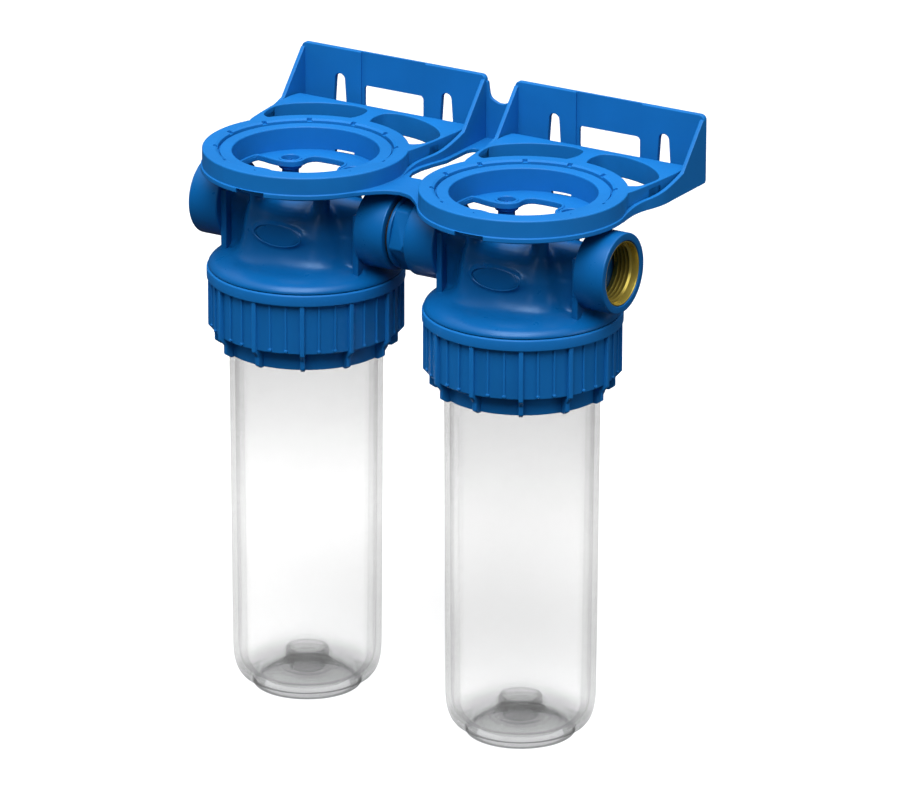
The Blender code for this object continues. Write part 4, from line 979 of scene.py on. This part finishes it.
def head_distance(points, outline, post_blend):
    """Distance to the head's blended outside."""
    x, y, z = points.T
    body = outline_distance(numpy.hypot(x, y), z, outline)
    pipe = rod_distance(numpy.hypot(y, z - PORT_Z), numpy.abs(x), PIPE_R, -0.01, BOSS_START + 0.001)
    wall = box_distance(x, y, z, (-BOSS_START - 0.0005, -PIPE_R + SINK, CREASE_Z - 0.006),
                        (BOSS_START + 0.0005, PIPE_R - SINK, PORT_Z), 0.001)
    body = blend(body, numpy.minimum(pipe, wall), 0.0040)
    post = rod_distance(numpy.hypot(numpy.abs(x) - POST_X, numpy.abs(y) - POST_Y), z, POST_R, 0.240, POST_TOP,
                        0.0005)
    width = numpy.clip((POST_TOP - 0.004 - z) / (POST_TOP - 0.004 - FLARE_TOP), 0, 1) * post_blend + 0.0012
    body = blend(body, post, width)
    pad = rod_distance(numpy.hypot(x, (z - PAD_Z) * PAD_HALF_WIDE / PAD_HALF_HIGH) * 0.75, -y,
                       PAD_HALF_WIDE * 0.75, 0.015, PAD_FACE, 0.0006)
    body = blend(body, pad, 0.0045)
    vent = rod_distance(numpy.hypot(x - VENT_X, y), z, VENT_BOSS_R, PORT_Z, VENT_BOSS_TOP, 0.0005)
    body = blend(body, vent, 0.0024)
    return body


class FILTER_OT_heads(Operator):
    """Blend the heads' domes, necks, posts and port bosses into one moulding each"""
    bl_idname = "filter.heads"
    bl_label = "Filter heads"

    def execute(self, context):
        sizes = context.scene.filter_sizes
        outline = head_outline()
        head = self.blended(sizes, outline)
        self.cut(head)
        skirt_root = RIM_LOW + 0.0007
        web = rectangle((-WEB_FRONT, 0.2440), (WEB_FRONT, WEB_TOP), (0, 0, 0.0012, 0.0012))
        hole = arc_points((0, PORT_Z), PASSAGE_R, 0, math.tau * 47 / 48, 47)
        others = []
        for sign in (-1, 1):
            back = sign * (INSERT_BACK - HAIR)
            others.append(turned("boss", [
                (PASSAGE_R, sign * BOSS_START), (BOSS_R, sign * BOSS_START, 0.0010),
                (BOSS_R, sign * BOSS_END, 0.0007),
                (SEAT_R, sign * BOSS_END, 0.0004), (SEAT_R, back, 0.0002), (PASSAGE_R, back, 0.0004)],
                sizes.bore_steps, True, "X"))
            others.append(plate("web", [web, hole], *sorted((sign * WEB_INNER, sign * WEB_OUTER)), "YZ",
                                0.0008, 3))
        others.append(turned("skirt", [
            (SKIRT_BORE, SKIRT_LOW, 0.0004), (SKIRT_R, SKIRT_LOW, 0.0005), (SKIRT_R, skirt_root),
            (0.0390, skirt_root), (SKIRT_BORE, SKIRT_CEILING, 0.0008)], sizes.body_steps))
        others.append(thread_ridge("head_thread", SKIRT_R - CLEAR, THREAD_CREST, RIDGE_ROOT, RIDGE_CREST,
                                   SKIRT_LOW + 0.0050, THREAD_PITCH, 1.0))
        others.append(self.pad_rim(outline, sizes.post_blend))
        head = joined("head", [shaded(head, 50)] + [shaded(piece) for piece in others])
        in_both_units(head, "head", "head", "housing", "head_{}")
        return {"FINISHED"}

    def blended(self, sizes, outline):
        """Rough forms skinned with small faces, then drawn onto the blended outside."""
        skin = [(0, DOME_TOP + CLEAR)] + [(r + CLEAR, z) for r, z in outline[1:-1]] + [(0, RIM_LOW - 0.006)]
        parts = [turned("head", skin, 96, False)]
        reach = BOSS_START + CLEAR
        for low, high in ((-reach, -0.020), (0.020, reach)):
            parts.append(rod("pipe", PIPE_R + CLEAR, low, high, 48, "X"))
            parts.append(plate("wall", [rectangle((low, -PIPE_R), (high, PIPE_R))], CREASE_Z - 0.006, PORT_Z,
                               "XY", 0.0002))
        parts += at_posts(lambda: turned("post", [
            (0, 0.240), (POST_R + 0.004, 0.240), (POST_R + 0.002, 0.262), (POST_R + 0.0005, 0.275),
            (POST_R + 0.0003, POST_TOP), (0, POST_TOP)], 32, False))
        parts.append(moved(rod("vent", VENT_BOSS_R, PORT_Z, VENT_BOSS_TOP, 32), (VENT_X, 0, 0)))
        head = modified(joined("head", parts), "REMESH", mode="VOXEL", voxel_size=sizes.voxel)
        points = numpy.empty(len(head.data.vertices) * 3)
        head.data.vertices.foreach_get("co", points)
        points = points.reshape(-1, 3)
        for _ in range(5):
            value = head_distance(points, outline, sizes.post_blend)
            slope = numpy.stack([head_distance(points + step, outline, sizes.post_blend) - value
                                 for step in numpy.identity(3) * PROBE], axis=1) / PROBE
            size = numpy.maximum(numpy.linalg.norm(slope, axis=1), 0.4)
            push = numpy.clip(value / size, -0.0015, 0.0015)
            points = points - slope / size[:, None] * push[:, None]
        head.data.vertices.foreach_set("co", points.ravel())
        head.data.update()
        with editing(head):
            bpy.ops.mesh.bisect(plane_co=(0, 0, RIM_LOW), plane_no=(0, 0, 1), use_fill=True, clear_inner=True)
        return cleaned(head, 1e-7)

    def cut(self, head):
        """Hollow the head and bore its passages, vent and screw holes."""
        cavity = turned("cavity", [
            (0, RIM_LOW - CLEAR), (SKIRT_BORE - 0.0048, RIM_LOW - CLEAR),
            (CREASE_R - HEAD_WALL, CREASE_Z - HEAD_WALL),
            (NECK_R - HEAD_WALL, FLARE_TOP - HEAD_WALL), (NECK_R - HEAD_WALL, DOME_BASE), (0.0173, 0.2802),
            (0.0078, 0.2834), (0, 0.2840)], 96, False)
        cuts = [rod("bore", PASSAGE_R, *ends, 64, "X") for ends in ((-BOSS_END, -TUBE_R), (0, BOSS_END))]
        cuts += [moved(piece, (VENT_X, 0, 0)) for piece in (
            rod("well", VENT_WELL_R, VENT_FLOOR, VENT_BOSS_TOP + CLEAR, 48),
            rod("hole", VENT_STEM_R + HAIR, PORT_Z, VENT_BOSS_TOP, 24))]
        cuts += at_posts(lambda: rod("pilot", PILOT_R, POST_TOP - 0.013, POST_TOP + CLEAR, 24))
        combined(head, [cavity], "DIFFERENCE")
        combined(head, [tube("tube", PASSAGE_R, TUBE_R, TUBE_LOW, 0.2850, (0.0004, 0.0004, 0, 0), 64),
                        rod("outlet_pipe", PIPE_R - HAIR, 0.0, 0.0262, 64, "X")], "UNION")
        combined(head, cuts, "DIFFERENCE")

    def pad_rim(self, outline, post_blend):
        """Thin raised oval on the neck's front, left bare inside."""
        steps = 120
        thick = 0.1
        bead = 0.00045 / thick
        bpy.ops.object.select_all(action="DESELECT")
        bpy.ops.mesh.primitive_torus_add(major_segments=steps, minor_segments=10, major_radius=1.0,
                                         minor_radius=thick, location=(0, 0, 0))
        rim = bpy.context.object
        turn = [math.tau * i / steps for i in range(steps)]
        flat = numpy.array([(PAD_HALF_WIDE * math.cos(a), -0.045, PAD_Z + PAD_HALF_HIGH * math.sin(a))
                            for a in turn])
        for _ in range(40):
            flat[:, 1] += head_distance(flat, outline, post_blend) * 0.8
        for vertex in rim.data.vertices:
            angle = math.atan2(vertex.co.y, vertex.co.x)
            out = (math.hypot(vertex.co.x, vertex.co.y) - 1.0) * bead
            outward = Vector((math.cos(angle) / PAD_HALF_WIDE,
                              math.sin(angle) / PAD_HALF_HIGH)).normalized() * out
            centre = Vector(flat[round(angle / math.tau * steps) % steps])
            vertex.co = centre + Vector((outward.x, -vertex.co.z * bead, outward.y))
        return cleaned(rim)


# Brass inserts, nipple and seals
class FILTER_OT_inserts(Operator):
    """Turn the brass inserts and cut their pipe threads"""
    bl_idname = "filter.inserts"
    bl_label = "Brass inserts"

    def execute(self, context):
        sizes = context.scene.filter_sizes
        pitch = sizes.thread_pitch
        root = INSERT_MOUTH - INSERT_LIP
        mouth = INSERT_FACE - INSERT_LEAD
        body = turned("insert", [
            (INSERT_R, INSERT_BACK, 0.0003), (INSERT_R, INSERT_FACE, 0.0005),
            (INSERT_MOUTH + INSERT_LIP, INSERT_FACE, 0.0003), (INSERT_MOUTH, mouth + 0.0010), (root, mouth),
            (root, INSERT_BACK, 0.0002)], sizes.bore_steps, True, "X")
        turns = (mouth - INSERT_BACK - 0.0016) / pitch
        ridge = thread_ridge("pipe_thread", root + INSERT_LIP, INSERT_MINOR, pitch * 0.92, pitch * 0.16,
                             INSERT_BACK + 0.0012, pitch, turns, sizes.bore_steps)
        ridge.matrix_world = Matrix.Translation((0, 0, PORT_Z)) @ PLANES["YZ"]
        insert = shaded(joined("insert", [body, applied(ridge)]))
        for side, x in SIDES:
            for word, turn in (("outlet", 0), ("inlet", math.pi)):
                copy = twin(insert, Matrix.Translation((x, UNIT_Y, 0)) @ Matrix.Rotation(turn, 4, "Z"))
                node = word + "_insert_" + side
                finish_piece(copy, node, "brass", "housing", node)
        bpy.data.objects.remove(insert, do_unlink=True)
        return {"FINISHED"}


class FILTER_OT_nipple(Operator):
    """Make the hexagon nipple and its two flat seals"""
    bl_idname = "filter.nipple"
    bl_label = "Nipple and seals"

    def execute(self, context):
        steps = context.scene.filter_sizes.bore_steps
        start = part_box("nipple_seal_left")[1][0] + HAIR
        end = start + 0.0018
        hex_end = end + 0.0086
        root = NIPPLE_R - SINK
        barrel = tube("nipple", NIPPLE_BORE, NIPPLE_R, -NIPPLE_REACH, NIPPLE_REACH,
                      (0.0004, 0.0006, 0.0006, 0.0004), steps, "X")
        flange = tube("flange", root, NIPPLE_FLANGE_R, start, end, (0, 0.0004, 0.0005, 0), steps, "X")
        corner = HEX_FLATS / math.sqrt(3)
        first = HEX_TURN + math.pi / 2
        six = arc_points((0, PORT_Z), corner, first, first + math.tau * 5 / 6, 5)
        core = arc_points((0, PORT_Z), root, 0, math.tau * 47 / 48, 47)
        flats = plate("flats", [rounded([(y, z, 0.0006) for y, z in six]), core], end - HAIR, hex_end, "YZ")
        chamfer = turned("chamfer", [
            (0, end - CLEAR), (corner - 0.0003, end - CLEAR), (corner - 0.0003, hex_end - 0.0014),
            (corner - 0.0016, hex_end + 0.0002), (0, hex_end + 0.0002)], steps, False, "X")
        combined(flats, [chamfer], "INTERSECT")
        nipple = moved(shaded(joined("nipple", [barrel, flange, flats]), 30), (0, UNIT_Y, 0))
        finish_piece(nipple, "nipple_body", "head", "housing", "nipple")
        for node in ("nipple_seal_left", "nipple_seal_right"):
            low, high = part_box(node)
            seal = tube(node, NIPPLE_R + HAIR, SEAL_R, low[0], high[0], (0, 0.0003, 0.0003, 0), steps, "X")
            moved(shaded(seal), (0, UNIT_Y, 0))
            finish_piece(seal, node + "_ring", "rubber", "housing", node)
        return {"FINISHED"}


# Vents and screws
class FILTER_OT_vents(Operator):
    """Make the red vent buttons with their springs, seals and washers"""
    bl_idname = "filter.vents"
    bl_label = "Vent buttons"

    def execute(self, context):
        (washer_low, washer_high), (seal_low, seal_high), (low, high), (spring_low, spring_high) = (
            [corner[2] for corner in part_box(node + "_left")]
            for node in ("vent_washer", "vent_seal", "vent_button", "vent_spring"))
        tip = washer_low - HAIR
        bore = VENT_STEM_R + HAIR
        button = turned("button", [
            (0, high), (VENT_CAP_R, high, 0.0009), (VENT_CAP_R, VENT_CAP_LOW, 0.0003),
            (VENT_STEM_R, VENT_CAP_LOW, 0.0003), (VENT_STEM_R, tip, 0.0002), (0.0023, tip, 0.0003),
            (0.0023, low, 0.0004), (0, low)], 48, False)
        tall = spring_high - spring_low
        path = [(COIL_R * math.cos(math.tau * i / 24), COIL_R * math.sin(math.tau * i / 24),
                 spring_low + COIL_WIRE + (tall - COIL_WIRE * 2) * i / 72) for i in range(73)]
        spring = line_curve("spring", [path], False)
        spring.data.dimensions = "3D"
        spring.data.bevel_depth = COIL_WIRE
        spring.data.bevel_resolution = 2
        spring.data.use_fill_caps = True
        only(spring)
        bpy.ops.object.convert(target="MESH")
        seal = tube("seal", bore, 0.0031, seal_low, seal_high, (0.0002, 0.0003, 0.0003, 0.0002), 48)
        washer = tube("washer", bore, 0.0034, washer_low, washer_high, (0.0001, 0.0002, 0.0002, 0.0001), 48)
        for piece, angle in ((button, 40), (cleaned(spring), 60), (seal, 40), (washer, 40)):
            moved(shaded(piece, angle), (VENT_X, 0, 0))
        in_both_units(button, "vent_cap", "red", "{}_vent", "vent_button_{}")
        in_both_units(seal, "vent_seal_ring", "rubber", "{}_vent", "vent_seal_{}")
        in_both_units(washer, "vent_retainer", "steel", "{}_vent", "vent_washer_{}")
        in_both_units(spring, "vent_coil", "steel", "housing", "vent_spring_{}")
        for side, x in SIDES:
            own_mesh(bpy.data.objects["vent_coil_" + side])
        return {"FINISHED"}


class FILTER_OT_screws(Operator):
    """Make the bracket screws with cross recesses"""
    bl_idname = "filter.screws"
    bl_label = "Bracket screws"

    def execute(self, context):
        end = SCREW_SEAT - 0.013
        screw = turned("screw", [
            (0, SCREW_TOP), (0.0020, SCREW_TOP - 0.00005, 0.0005), (SCREW_HEAD_R, 0.2929, 0.0007),
            (SCREW_HEAD_R, SCREW_SEAT, 0.0003), (0.0019, SCREW_SEAT, 0.0002), (0.0019, end + 0.0015, 0.0002),
            (0.0003, end), (0, end)], 48, False)
        bar = plate("bar", [rectangle((-0.0021, -0.0004), (0.0021, 0.0004), (0.0002,) * 4)],
                    SCREW_TOP - 0.0011, SCREW_TOP + CLEAR, "XY", 0.00005, 1)
        combined(screw, [bar, twin(bar, Matrix.Rotation(math.pi / 2, 4, "Z"))], "DIFFERENCE")
        shaded(screw)
        for side, x in SIDES:
            for number in range(1, 5):
                name = "screw_{}_{}".format(side, number)
                low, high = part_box("bracket_" + name)
                place = ((low[0] + high[0]) / 2, (low[1] + high[1]) / 2, 0)
                turn = Matrix.Rotation(math.radians(23 + 37 * number), 4, "Z")
                copy = twin(screw, Matrix.Translation(place) @ turn)
                finish_piece(copy, name, "coat", "housing", "bracket_" + name)
        bpy.data.objects.remove(screw, do_unlink=True)
        return {"FINISHED"}
# Bracket
def deck_side(inset):
    """Marks down the deck's side."""
    return [(DECK_HALF * x - inset, DECK_REAR * y) for x, y in DECK_SIDE_SHARES]


def deck_outline(inset):
    """Deck behind a ring, closed by a chord across the ring."""
    centre = (DECK_HALF - inset - DECK_CORNER, DECK_REAR - inset - DECK_CORNER)
    corner = arc_points(centre, DECK_CORNER, math.pi / 2, 0, 6)
    return mirrored(corner[:-1] + smooth_line([corner[-1]] + deck_side(inset), False, 4))


def window_outline():
    """Bean-shaped window between the ring and the deck's rear edge."""
    inner = arc_points((0, 0), RING_R - 0.0008, math.radians(83), math.radians(37), 16)
    outer = [(DECK_HALF * x, DECK_REAR * y) for x, y in WINDOW_SHARES]
    outer = smooth_line([inner[-1]] + outer + [inner[0]], False, 5)
    return rounded([inner[0] + (0.0016,)] + inner[1:] + outer[1:-1])


def side_stations():
    """Smooth stations of a side wall: outer place, distance to the back and top level."""
    marks = [(PLATE_HALF * x, WALL_Y * y, LIP_TOP + (PLATE_TOP - LIP_TOP) * up)
             for x, y, up in SIDE_WALL_SHARES]
    curve = smooth_line(marks[2:], False, 4)
    slope = [tuple(Vector(marks[1]).lerp(Vector(curve[0]), i / 8)) for i in range(1, 8)]
    return marks[:2] + slope + curve


def side_wall(sign):
    """Wall from the back plate down to the ring's lip, extruded station by station."""
    stations = side_stations()
    corners = ((0, 0, 0), (0, 1, SIDE_EDGE), (1, 1, SIDE_EDGE), (1, 0, 0))
    section = rounded([(u * SIDE_WALL, v * ROUGH_HIGH, radius) for u, v, radius in corners], True, 4)
    piece = drawn("side_wall", section, True)
    with editing(piece):
        bpy.ops.mesh.edge_face_add()
        for _ in stations[1:]:
            bpy.ops.mesh.extrude_region_move(TRANSFORM_OT_translate={"value": (0, -ROUGH_STEP, 0)})
    for vertex in piece.data.vertices:
        station = round(-vertex.co.y / ROUGH_STEP)
        x, y, top = stations[station]
        z = top - (ROUGH_HIGH - vertex.co.z)
        if ROUGH_HIGH - vertex.co.z >= CREST_HIGH:
            z = BASE_Z + (top - CREST_HIGH - BASE_Z) * (vertex.co.z / (ROUGH_HIGH - CREST_HIGH))
        ahead = Vector(stations[min(station + 1, len(stations) - 1)][:2])
        behind = Vector(stations[max(station - 1, 0)][:2])
        along = (ahead - behind).normalized()
        inward = Vector((along.y, -along.x))
        if inward.x > 0:
            inward = -inward
        place = Vector((x, y)) + inward * vertex.co.x
        vertex.co = (sign * place.x, place.y, max(z, BASE_Z))
    return cleaned(piece)


def flange_outline():
    """Flat flange between the deck's walls, the side walls and the back plate."""
    outer = [(x - SIDE_WALL + SINK, y) for x, y, z in side_stations()]
    outer[0] = (outer[0][0], WALL_Y - PLATE_DEEP / 2)
    half = DECK_WALL / 2
    low = outer[-1][1]
    inner = [(DECK_HALF - half, DECK_REAR - half)] + smooth_line(deck_side(half), False, 4)
    inner.append((math.sqrt((RING_R - RING_LAP) ** 2 - low ** 2), low))
    return mirrored(inner + list(reversed(outer)))


def floor_opening():
    """Plus-shaped opening in the ring's floor."""
    quarter = [(OPENING_R * u, OPENING_R * v) for u, v in FLOOR_SHARES]
    half = quarter + flipped(reversed(quarter))
    return smooth_line(half + [(u, -v) for u, v in reversed(half)], True, 5)


class FILTER_OT_bracket(Operator):
    """Build the wall bracket: rings, cups, decks, plates, side walls and web"""
    bl_idname = "filter.bracket"
    bl_label = "Wall bracket"

    def execute(self, context):
        unit = self.ring()
        back = self.back(context.scene.filter_sizes.edge)
        combined(unit, [self.deck(), back, side_wall(-1), side_wall(1)], "UNION")
        left = twin(unit, Matrix.Translation((-UNIT_X, 0, 0)))
        bracket = moved(unit, (UNIT_X, 0, 0))
        combined(bracket, [left, self.web(), self.saddle()], "UNION")
        moved(bracket, (0, UNIT_Y, 0))
        modified(shaded(bracket), "WEIGHTED_NORMAL", keep_sharp=True)
        finish_piece(bracket, "wall_bracket", "blue", "housing", "bracket")
        return {"FINISHED"}

    def ring(self):
        """Ring with stepped top, cup, outer lip, floor, screw seats and nicks."""
        inside = OPENING_R - 0.0012
        floor_edge = FLOOR_TOP - 0.0004
        ring = turned("ring", [
            (inside, FLOOR_LOW, 0.0004), (CUP_R, FLOOR_LOW, 0.0008), (CUP_R, RING_UNDER, 0.0004),
            (RING_INNER, RING_UNDER, 0.0004), (RING_INNER, BASE_Z, 0.0004), (LIP_R, BASE_Z, 0.0006),
            (LIP_R, LIP_TOP, 0.0006), (RING_R, LIP_TOP + 0.0001, 0.0003), (RING_R, RING_TOP, 0.0009),
            (STEP_R + STEP_BEVEL, RING_TOP, 0.0004), (STEP_R, RING_TOP - STEP_BEVEL * 0.55, 0.0002),
            (STEP_R - 0.0001, GROOVE_FLOOR, 0.0002), (STEP_R - STEP_GROOVE, GROOVE_FLOOR, 0.0002),
            (STEP_R - STEP_GROOVE - 0.0001, STEP_Z, 0.0003), (OPENING_R, STEP_Z, 0.0008),
            (OPENING_R, floor_edge, 0.0008), (inside, floor_edge, 0.0002)], RING_STEPS)
        disc = arc_points((0, 0), OPENING_R + SINK, 0, math.tau * 127 / 128, 127)
        opening = floor_opening()
        floor = plate("floor", [disc, opening], FLOOR_LOW + 0.0002, FLOOR_TOP, "XY", 0.0006, 3)
        bead = plate("bead", [grown(opening, 0.0016), opening], FLOOR_LOW + 0.0004, FLOOR_TOP + 0.0007, "XY",
                     0.0006, 3)
        lobe_top = FLOOR_TOP + 0.0006
        lobes = at_posts(lambda: turned("lobe", [
            (0, LOBE_LOW), (LOBE_R, LOBE_LOW, 0.0006), (LOBE_R, lobe_top, 0.0005), (0, lobe_top)], 48, False))
        seat_top = FLOOR_TOP + 0.0014
        seats = at_posts(lambda: turned("seat", [
            (0, SCREW_SEAT - HAIR), (COUNTERBORE_R - 0.0002, SCREW_SEAT - HAIR, 0.0003),
            (COUNTERBORE_R, FLOOR_TOP + 0.0002), (COUNTERBORE_R + 0.0012, seat_top), (0, seat_top)], 48,
            False))
        seats += at_posts(lambda: rod("hole", PILOT_R, LOBE_LOW - CLEAR, SCREW_SEAT + CLEAR, 24))
        nick = plate("nick", [rectangle((STEP_R - 0.0012, -NICK_HALF), (STEP_R + NICK_REACH, NICK_HALF),
                                        (0, 0.0003, 0.0003, 0))], STEP_Z + 0.0003, RING_TOP + CLEAR, "XY",
                                        0.00005, 1)
        cuts = [
            plate("opening", [opening], LOBE_LOW - CLEAR, FLOOR_LOW + 0.0006, "XY", 0.0001, 1),
            cutter("lip_notch", (-LIP_NOTCH, -LIP_R - CLEAR), (LIP_NOTCH, -RING_INNER + CLEAR),
                   BASE_Z - CLEAR, LIP_TOP),
            cutter("slit", (-SLIT_HALF, OPENING_R - CLEAR), (SLIT_HALF, CUP_R + CLEAR), FLOOR_TOP - CLEAR,
                   FLOOR_TOP + 0.0009),
            around(nick, SECTORS)]
        combined(ring, [floor, bead] + lobes, "UNION")
        return combined(ring, cuts + seats, "DIFFERENCE")

    def deck(self):
        """Hollow deck behind the ring, with its windows and the flange round it."""
        window = window_outline()
        windows = [window, flipped(window)]
        walls = [grown(outline, DECK_WALL) for outline in windows]
        deck = plate("deck", [deck_outline(0)] + windows, BASE_Z + 0.0001, RING_TOP - 0.00003, "XY", 0.0006,
                     3)
        pocket = plate("pocket", [deck_outline(DECK_WALL)] + walls, BASE_Z - CLEAR, RING_TOP - DECK_TOP_DEEP,
                       "XY", 0.0002, 1)
        flange = plate("flange", [flange_outline()], BASE_Z + 0.00005, LIP_TOP - 0.00005)
        room = rod("room", RING_R - RING_LAP, BASE_Z - CLEAR, RING_TOP + CLEAR, 128)
        combined(deck, [pocket], "DIFFERENCE")
        combined(deck, [flange], "UNION")
        return combined(deck, [room], "DIFFERENCE")

    def back(self, edge):
        """Back plate with its window, keyhole slots and sunk panel."""
        front = WALL_Y - PLATE_DEEP
        outline = rectangle((-PLATE_HALF, BASE_Z), (PLATE_HALF, PLATE_TOP),
                            (0.0012, 0.0012) + (PLATE_CORNER,) * 2)
        hole = rectangle((-WINDOW_HALF, WINDOW_LOW), (WINDOW_HALF, WINDOW_HIGH), (0.0022,) * 4)
        slots = [arc_points((x, SLOT_HIGH), SLOT_R, 0, math.pi, 12)
                 + arc_points((x, SLOT_LOW), KEYHOLE_R, math.pi * 1.02, math.tau * 0.99, 12)
                 for x in (-SLOT_X, SLOT_X)]
        back = plate("back", [outline, hole] + slots, front, WALL_Y, "XZ", edge, 3)
        panel = cutter("panel", (-PANEL_HALF, LIP_TOP + 0.0002), (PANEL_HALF, PLATE_TOP + CLEAR),
                       front - CLEAR, front + PANEL_DEEP, "XZ")
        return combined(back, [panel], "DIFFERENCE")

    def web(self):
        """Flange between the two units, with its front arch and long opening."""
        arch = smooth_line([(UNIT_PITCH * x, WEB_ARCH_Y - UNIT_PITCH * y) for x, y in WEB_ARCH_SHARES], False,
                           5)
        contact = LIP_R - RING_LAP
        flank = [(UNIT_X + contact * math.cos(a), contact * math.sin(a)) for a in WEB_FLANK]
        wall = [(UNIT_X - x + SINK, y) for x, y, z in reversed(side_stations()[:-8])]
        wall[-1] = (wall[-1][0], WALL_Y - PLATE_DEEP / 2)
        right = arch + flank + wall
        half = [(GAP_HALF * x, WALL_Y * y) for x, y in WEB_HOLE_SHARES]
        hole = rounded([(x, y, 0.0025) for x, y in half + flipped(reversed(half))])
        return plate("web", [right + flipped(reversed(right[1:])), hole], BASE_Z + 0.00012, LIP_TOP - 0.00012,
                     "XY", 0.0005, 3)

    def saddle(self):
        """Strip that joins the back plates, with the dip in its top edge."""
        half = GAP_HALF + PLATE_CORNER + SINK
        top = PLATE_TOP - PLATE_CORNER - SINK
        dip = smooth_line([(GAP_HALF * x, top - SADDLE_DIP * y) for x, y in SADDLE_SHARES], False, 4)
        outline = mirrored([(half, BASE_Z + 0.0002), (half, top)] + dip)
        return plate("saddle", [outline], WALL_Y - PLATE_DEEP + PANEL_DEEP, WALL_Y - 0.0001, "XZ", 0.0005, 3)


# Stage
CAMERA_PLACE = (2.2338, -3.64249, 1.6992)
CAMERA_TARGET = (0.0231, -0.018143, 0.1832)
CAMERA_ROLL = math.radians(0.157)
LENS = 334.5
TENT_HIGH = 2.25
TENT_SIDE = 0.10
TENT_LOW = 0.06
TENT_THROUGH = 1.0
LAMP_TARGET = (0, 0, 0.25)
# Name, place, width, height, power and whether it shows in reflections
LAMPS = (
    ("key_softbox", (0.50, -1.52, 3.00), 2.2, 2.6, 118.0, True),
    ("strip_softbox", (0.62, -2.76, 1.15), 0.20, 1.80, 4.2, True),
    ("right_fill", (3.2, 0.3, 0.9), 1.6, 1.6, 18.0, True),
    ("left_fill", (-3.1, -0.9, 0.9), 1.6, 1.6, 32.0, False),
)


class FILTER_OT_stage(Operator):
    """Set up the pale floor, the soft light and the camera"""
    bl_idname = "filter.stage"
    bl_label = "Studio stage"

    def execute(self, context):
        bpy.ops.object.select_all(action="DESELECT")
        bpy.ops.mesh.primitive_plane_add(size=60, location=(0, 0, -0.0002))
        floor = context.object
        floor.name = "studio_floor"
        material, tree, place = new_material("matt_white_floor")
        pale = tuple(context.scene.filter_colours.floor)
        tint = ramp(tree, noise(tree, place, 40.0, 2.0), toned(pale, 0.98), toned(pale, 1), (0.0, 1.0))
        shown(tree, "ShaderNodeBsdfDiffuse", {"Color": tint})
        floor.data.materials.append(material)
        floor.visible_diffuse = False
        floor.visible_glossy = False
        context.scene.world = self.sky()
        for lamp in LAMPS:
            self.lamp(*lamp)
        data = bpy.data.cameras.new("camera")
        data.lens = LENS
        data.sensor_width = 36
        data.clip_end = 200
        camera = bpy.data.objects.new("camera", data)
        context.scene.collection.objects.link(camera)
        camera.location = CAMERA_PLACE
        aim = (Vector(CAMERA_TARGET) - Vector(CAMERA_PLACE)).to_track_quat("-Z", "Y").to_matrix()
        camera.rotation_euler = (aim @ Matrix.Rotation(CAMERA_ROLL, 3, "Z")).to_euler()
        context.scene.camera = camera
        context.scene.view_settings.view_transform = "Standard"
        return {"FINISHED"}

    def sky(self):
        """White tent above, dim below; in reflections bright only high up."""
        world = bpy.data.worlds.new("white_tent")
        world.use_nodes = True
        tree = world.node_tree
        tree.nodes.clear()
        direction = add_node(tree, "ShaderNodeTexCoord").outputs["Generated"]
        height = add_node(tree, "ShaderNodeSeparateXYZ", {0: direction}).outputs["Z"]
        side = ranged(tree, height, TENT_LOW, TENT_SIDE, -0.05, 0.05)
        lit = ranged(tree, height, side, TENT_HIGH, 0.60, 0.90)
        seen = ranged(tree, height, 0.05, 1.10, 0.40, 0.85)
        rays = add_node(tree, "ShaderNodeLightPath")
        strength = mixed(tree, rays.outputs["Is Glossy Ray"], lit, seen, "FLOAT")
        strength = mixed(tree, rays.outputs["Is Transmission Ray"], strength, TENT_THROUGH, "FLOAT")
        shown(tree, "ShaderNodeBackground", {"Color": (1, 1, 1, 1), "Strength": strength},
              "ShaderNodeOutputWorld")
        return world

    def lamp(self, name, place, wide, high, watts, reflected):
        """Rectangular soft light aimed at the housing."""
        bpy.ops.object.light_add(type="AREA", location=place)
        lamp = bpy.context.object
        lamp.name = name
        lamp.visible_glossy = reflected
        lamp.data.shape = "RECTANGLE"
        lamp.data.size = wide
        lamp.data.size_y = high
        lamp.data.energy = watts
        lamp.rotation_euler = (Vector(LAMP_TARGET) - Vector(place)).to_track_quat("-Z", "Y").to_euler()
# Panel and run
STEPS = (FILTER_OT_materials, FILTER_OT_bowls, FILTER_OT_collars, FILTER_OT_heads, FILTER_OT_inserts,
         FILTER_OT_nipple, FILTER_OT_vents, FILTER_OT_screws, FILTER_OT_bracket, FILTER_OT_stage)


class FILTER_PT_panel(Panel):
    """List of the building steps and their settings"""
    bl_label = "Filter housing"
    bl_space_type = "VIEW_3D"
    bl_region_type = "UI"
    bl_category = "Filter"

    def draw(self, context):
        layout = self.layout
        for step in STEPS:
            layout.operator(step.bl_idname)
        for group in (context.scene.filter_sizes, context.scene.filter_colours):
            box = layout.box()
            for key in group.bl_rna.properties.keys():
                if key not in ("rna_type", "name"):
                    box.prop(group, key)


CLASSES = (FILTER_PG_sizes, FILTER_PG_colours) + STEPS + (FILTER_PT_panel,)


def register():
    for cls in CLASSES:
        bpy.utils.register_class(cls)
    bpy.types.Scene.filter_sizes = PointerProperty(type=FILTER_PG_sizes)
    bpy.types.Scene.filter_colours = PointerProperty(type=FILTER_PG_colours)


def unregister():
    del bpy.types.Scene.filter_colours
    del bpy.types.Scene.filter_sizes
    for cls in reversed(CLASSES):
        bpy.utils.unregister_class(cls)


def main():
    register()
    for step in STEPS:
        group, name = step.bl_idname.split(".")
        getattr(getattr(bpy.ops, group), name)()


if __name__ == "__main__":
    main()
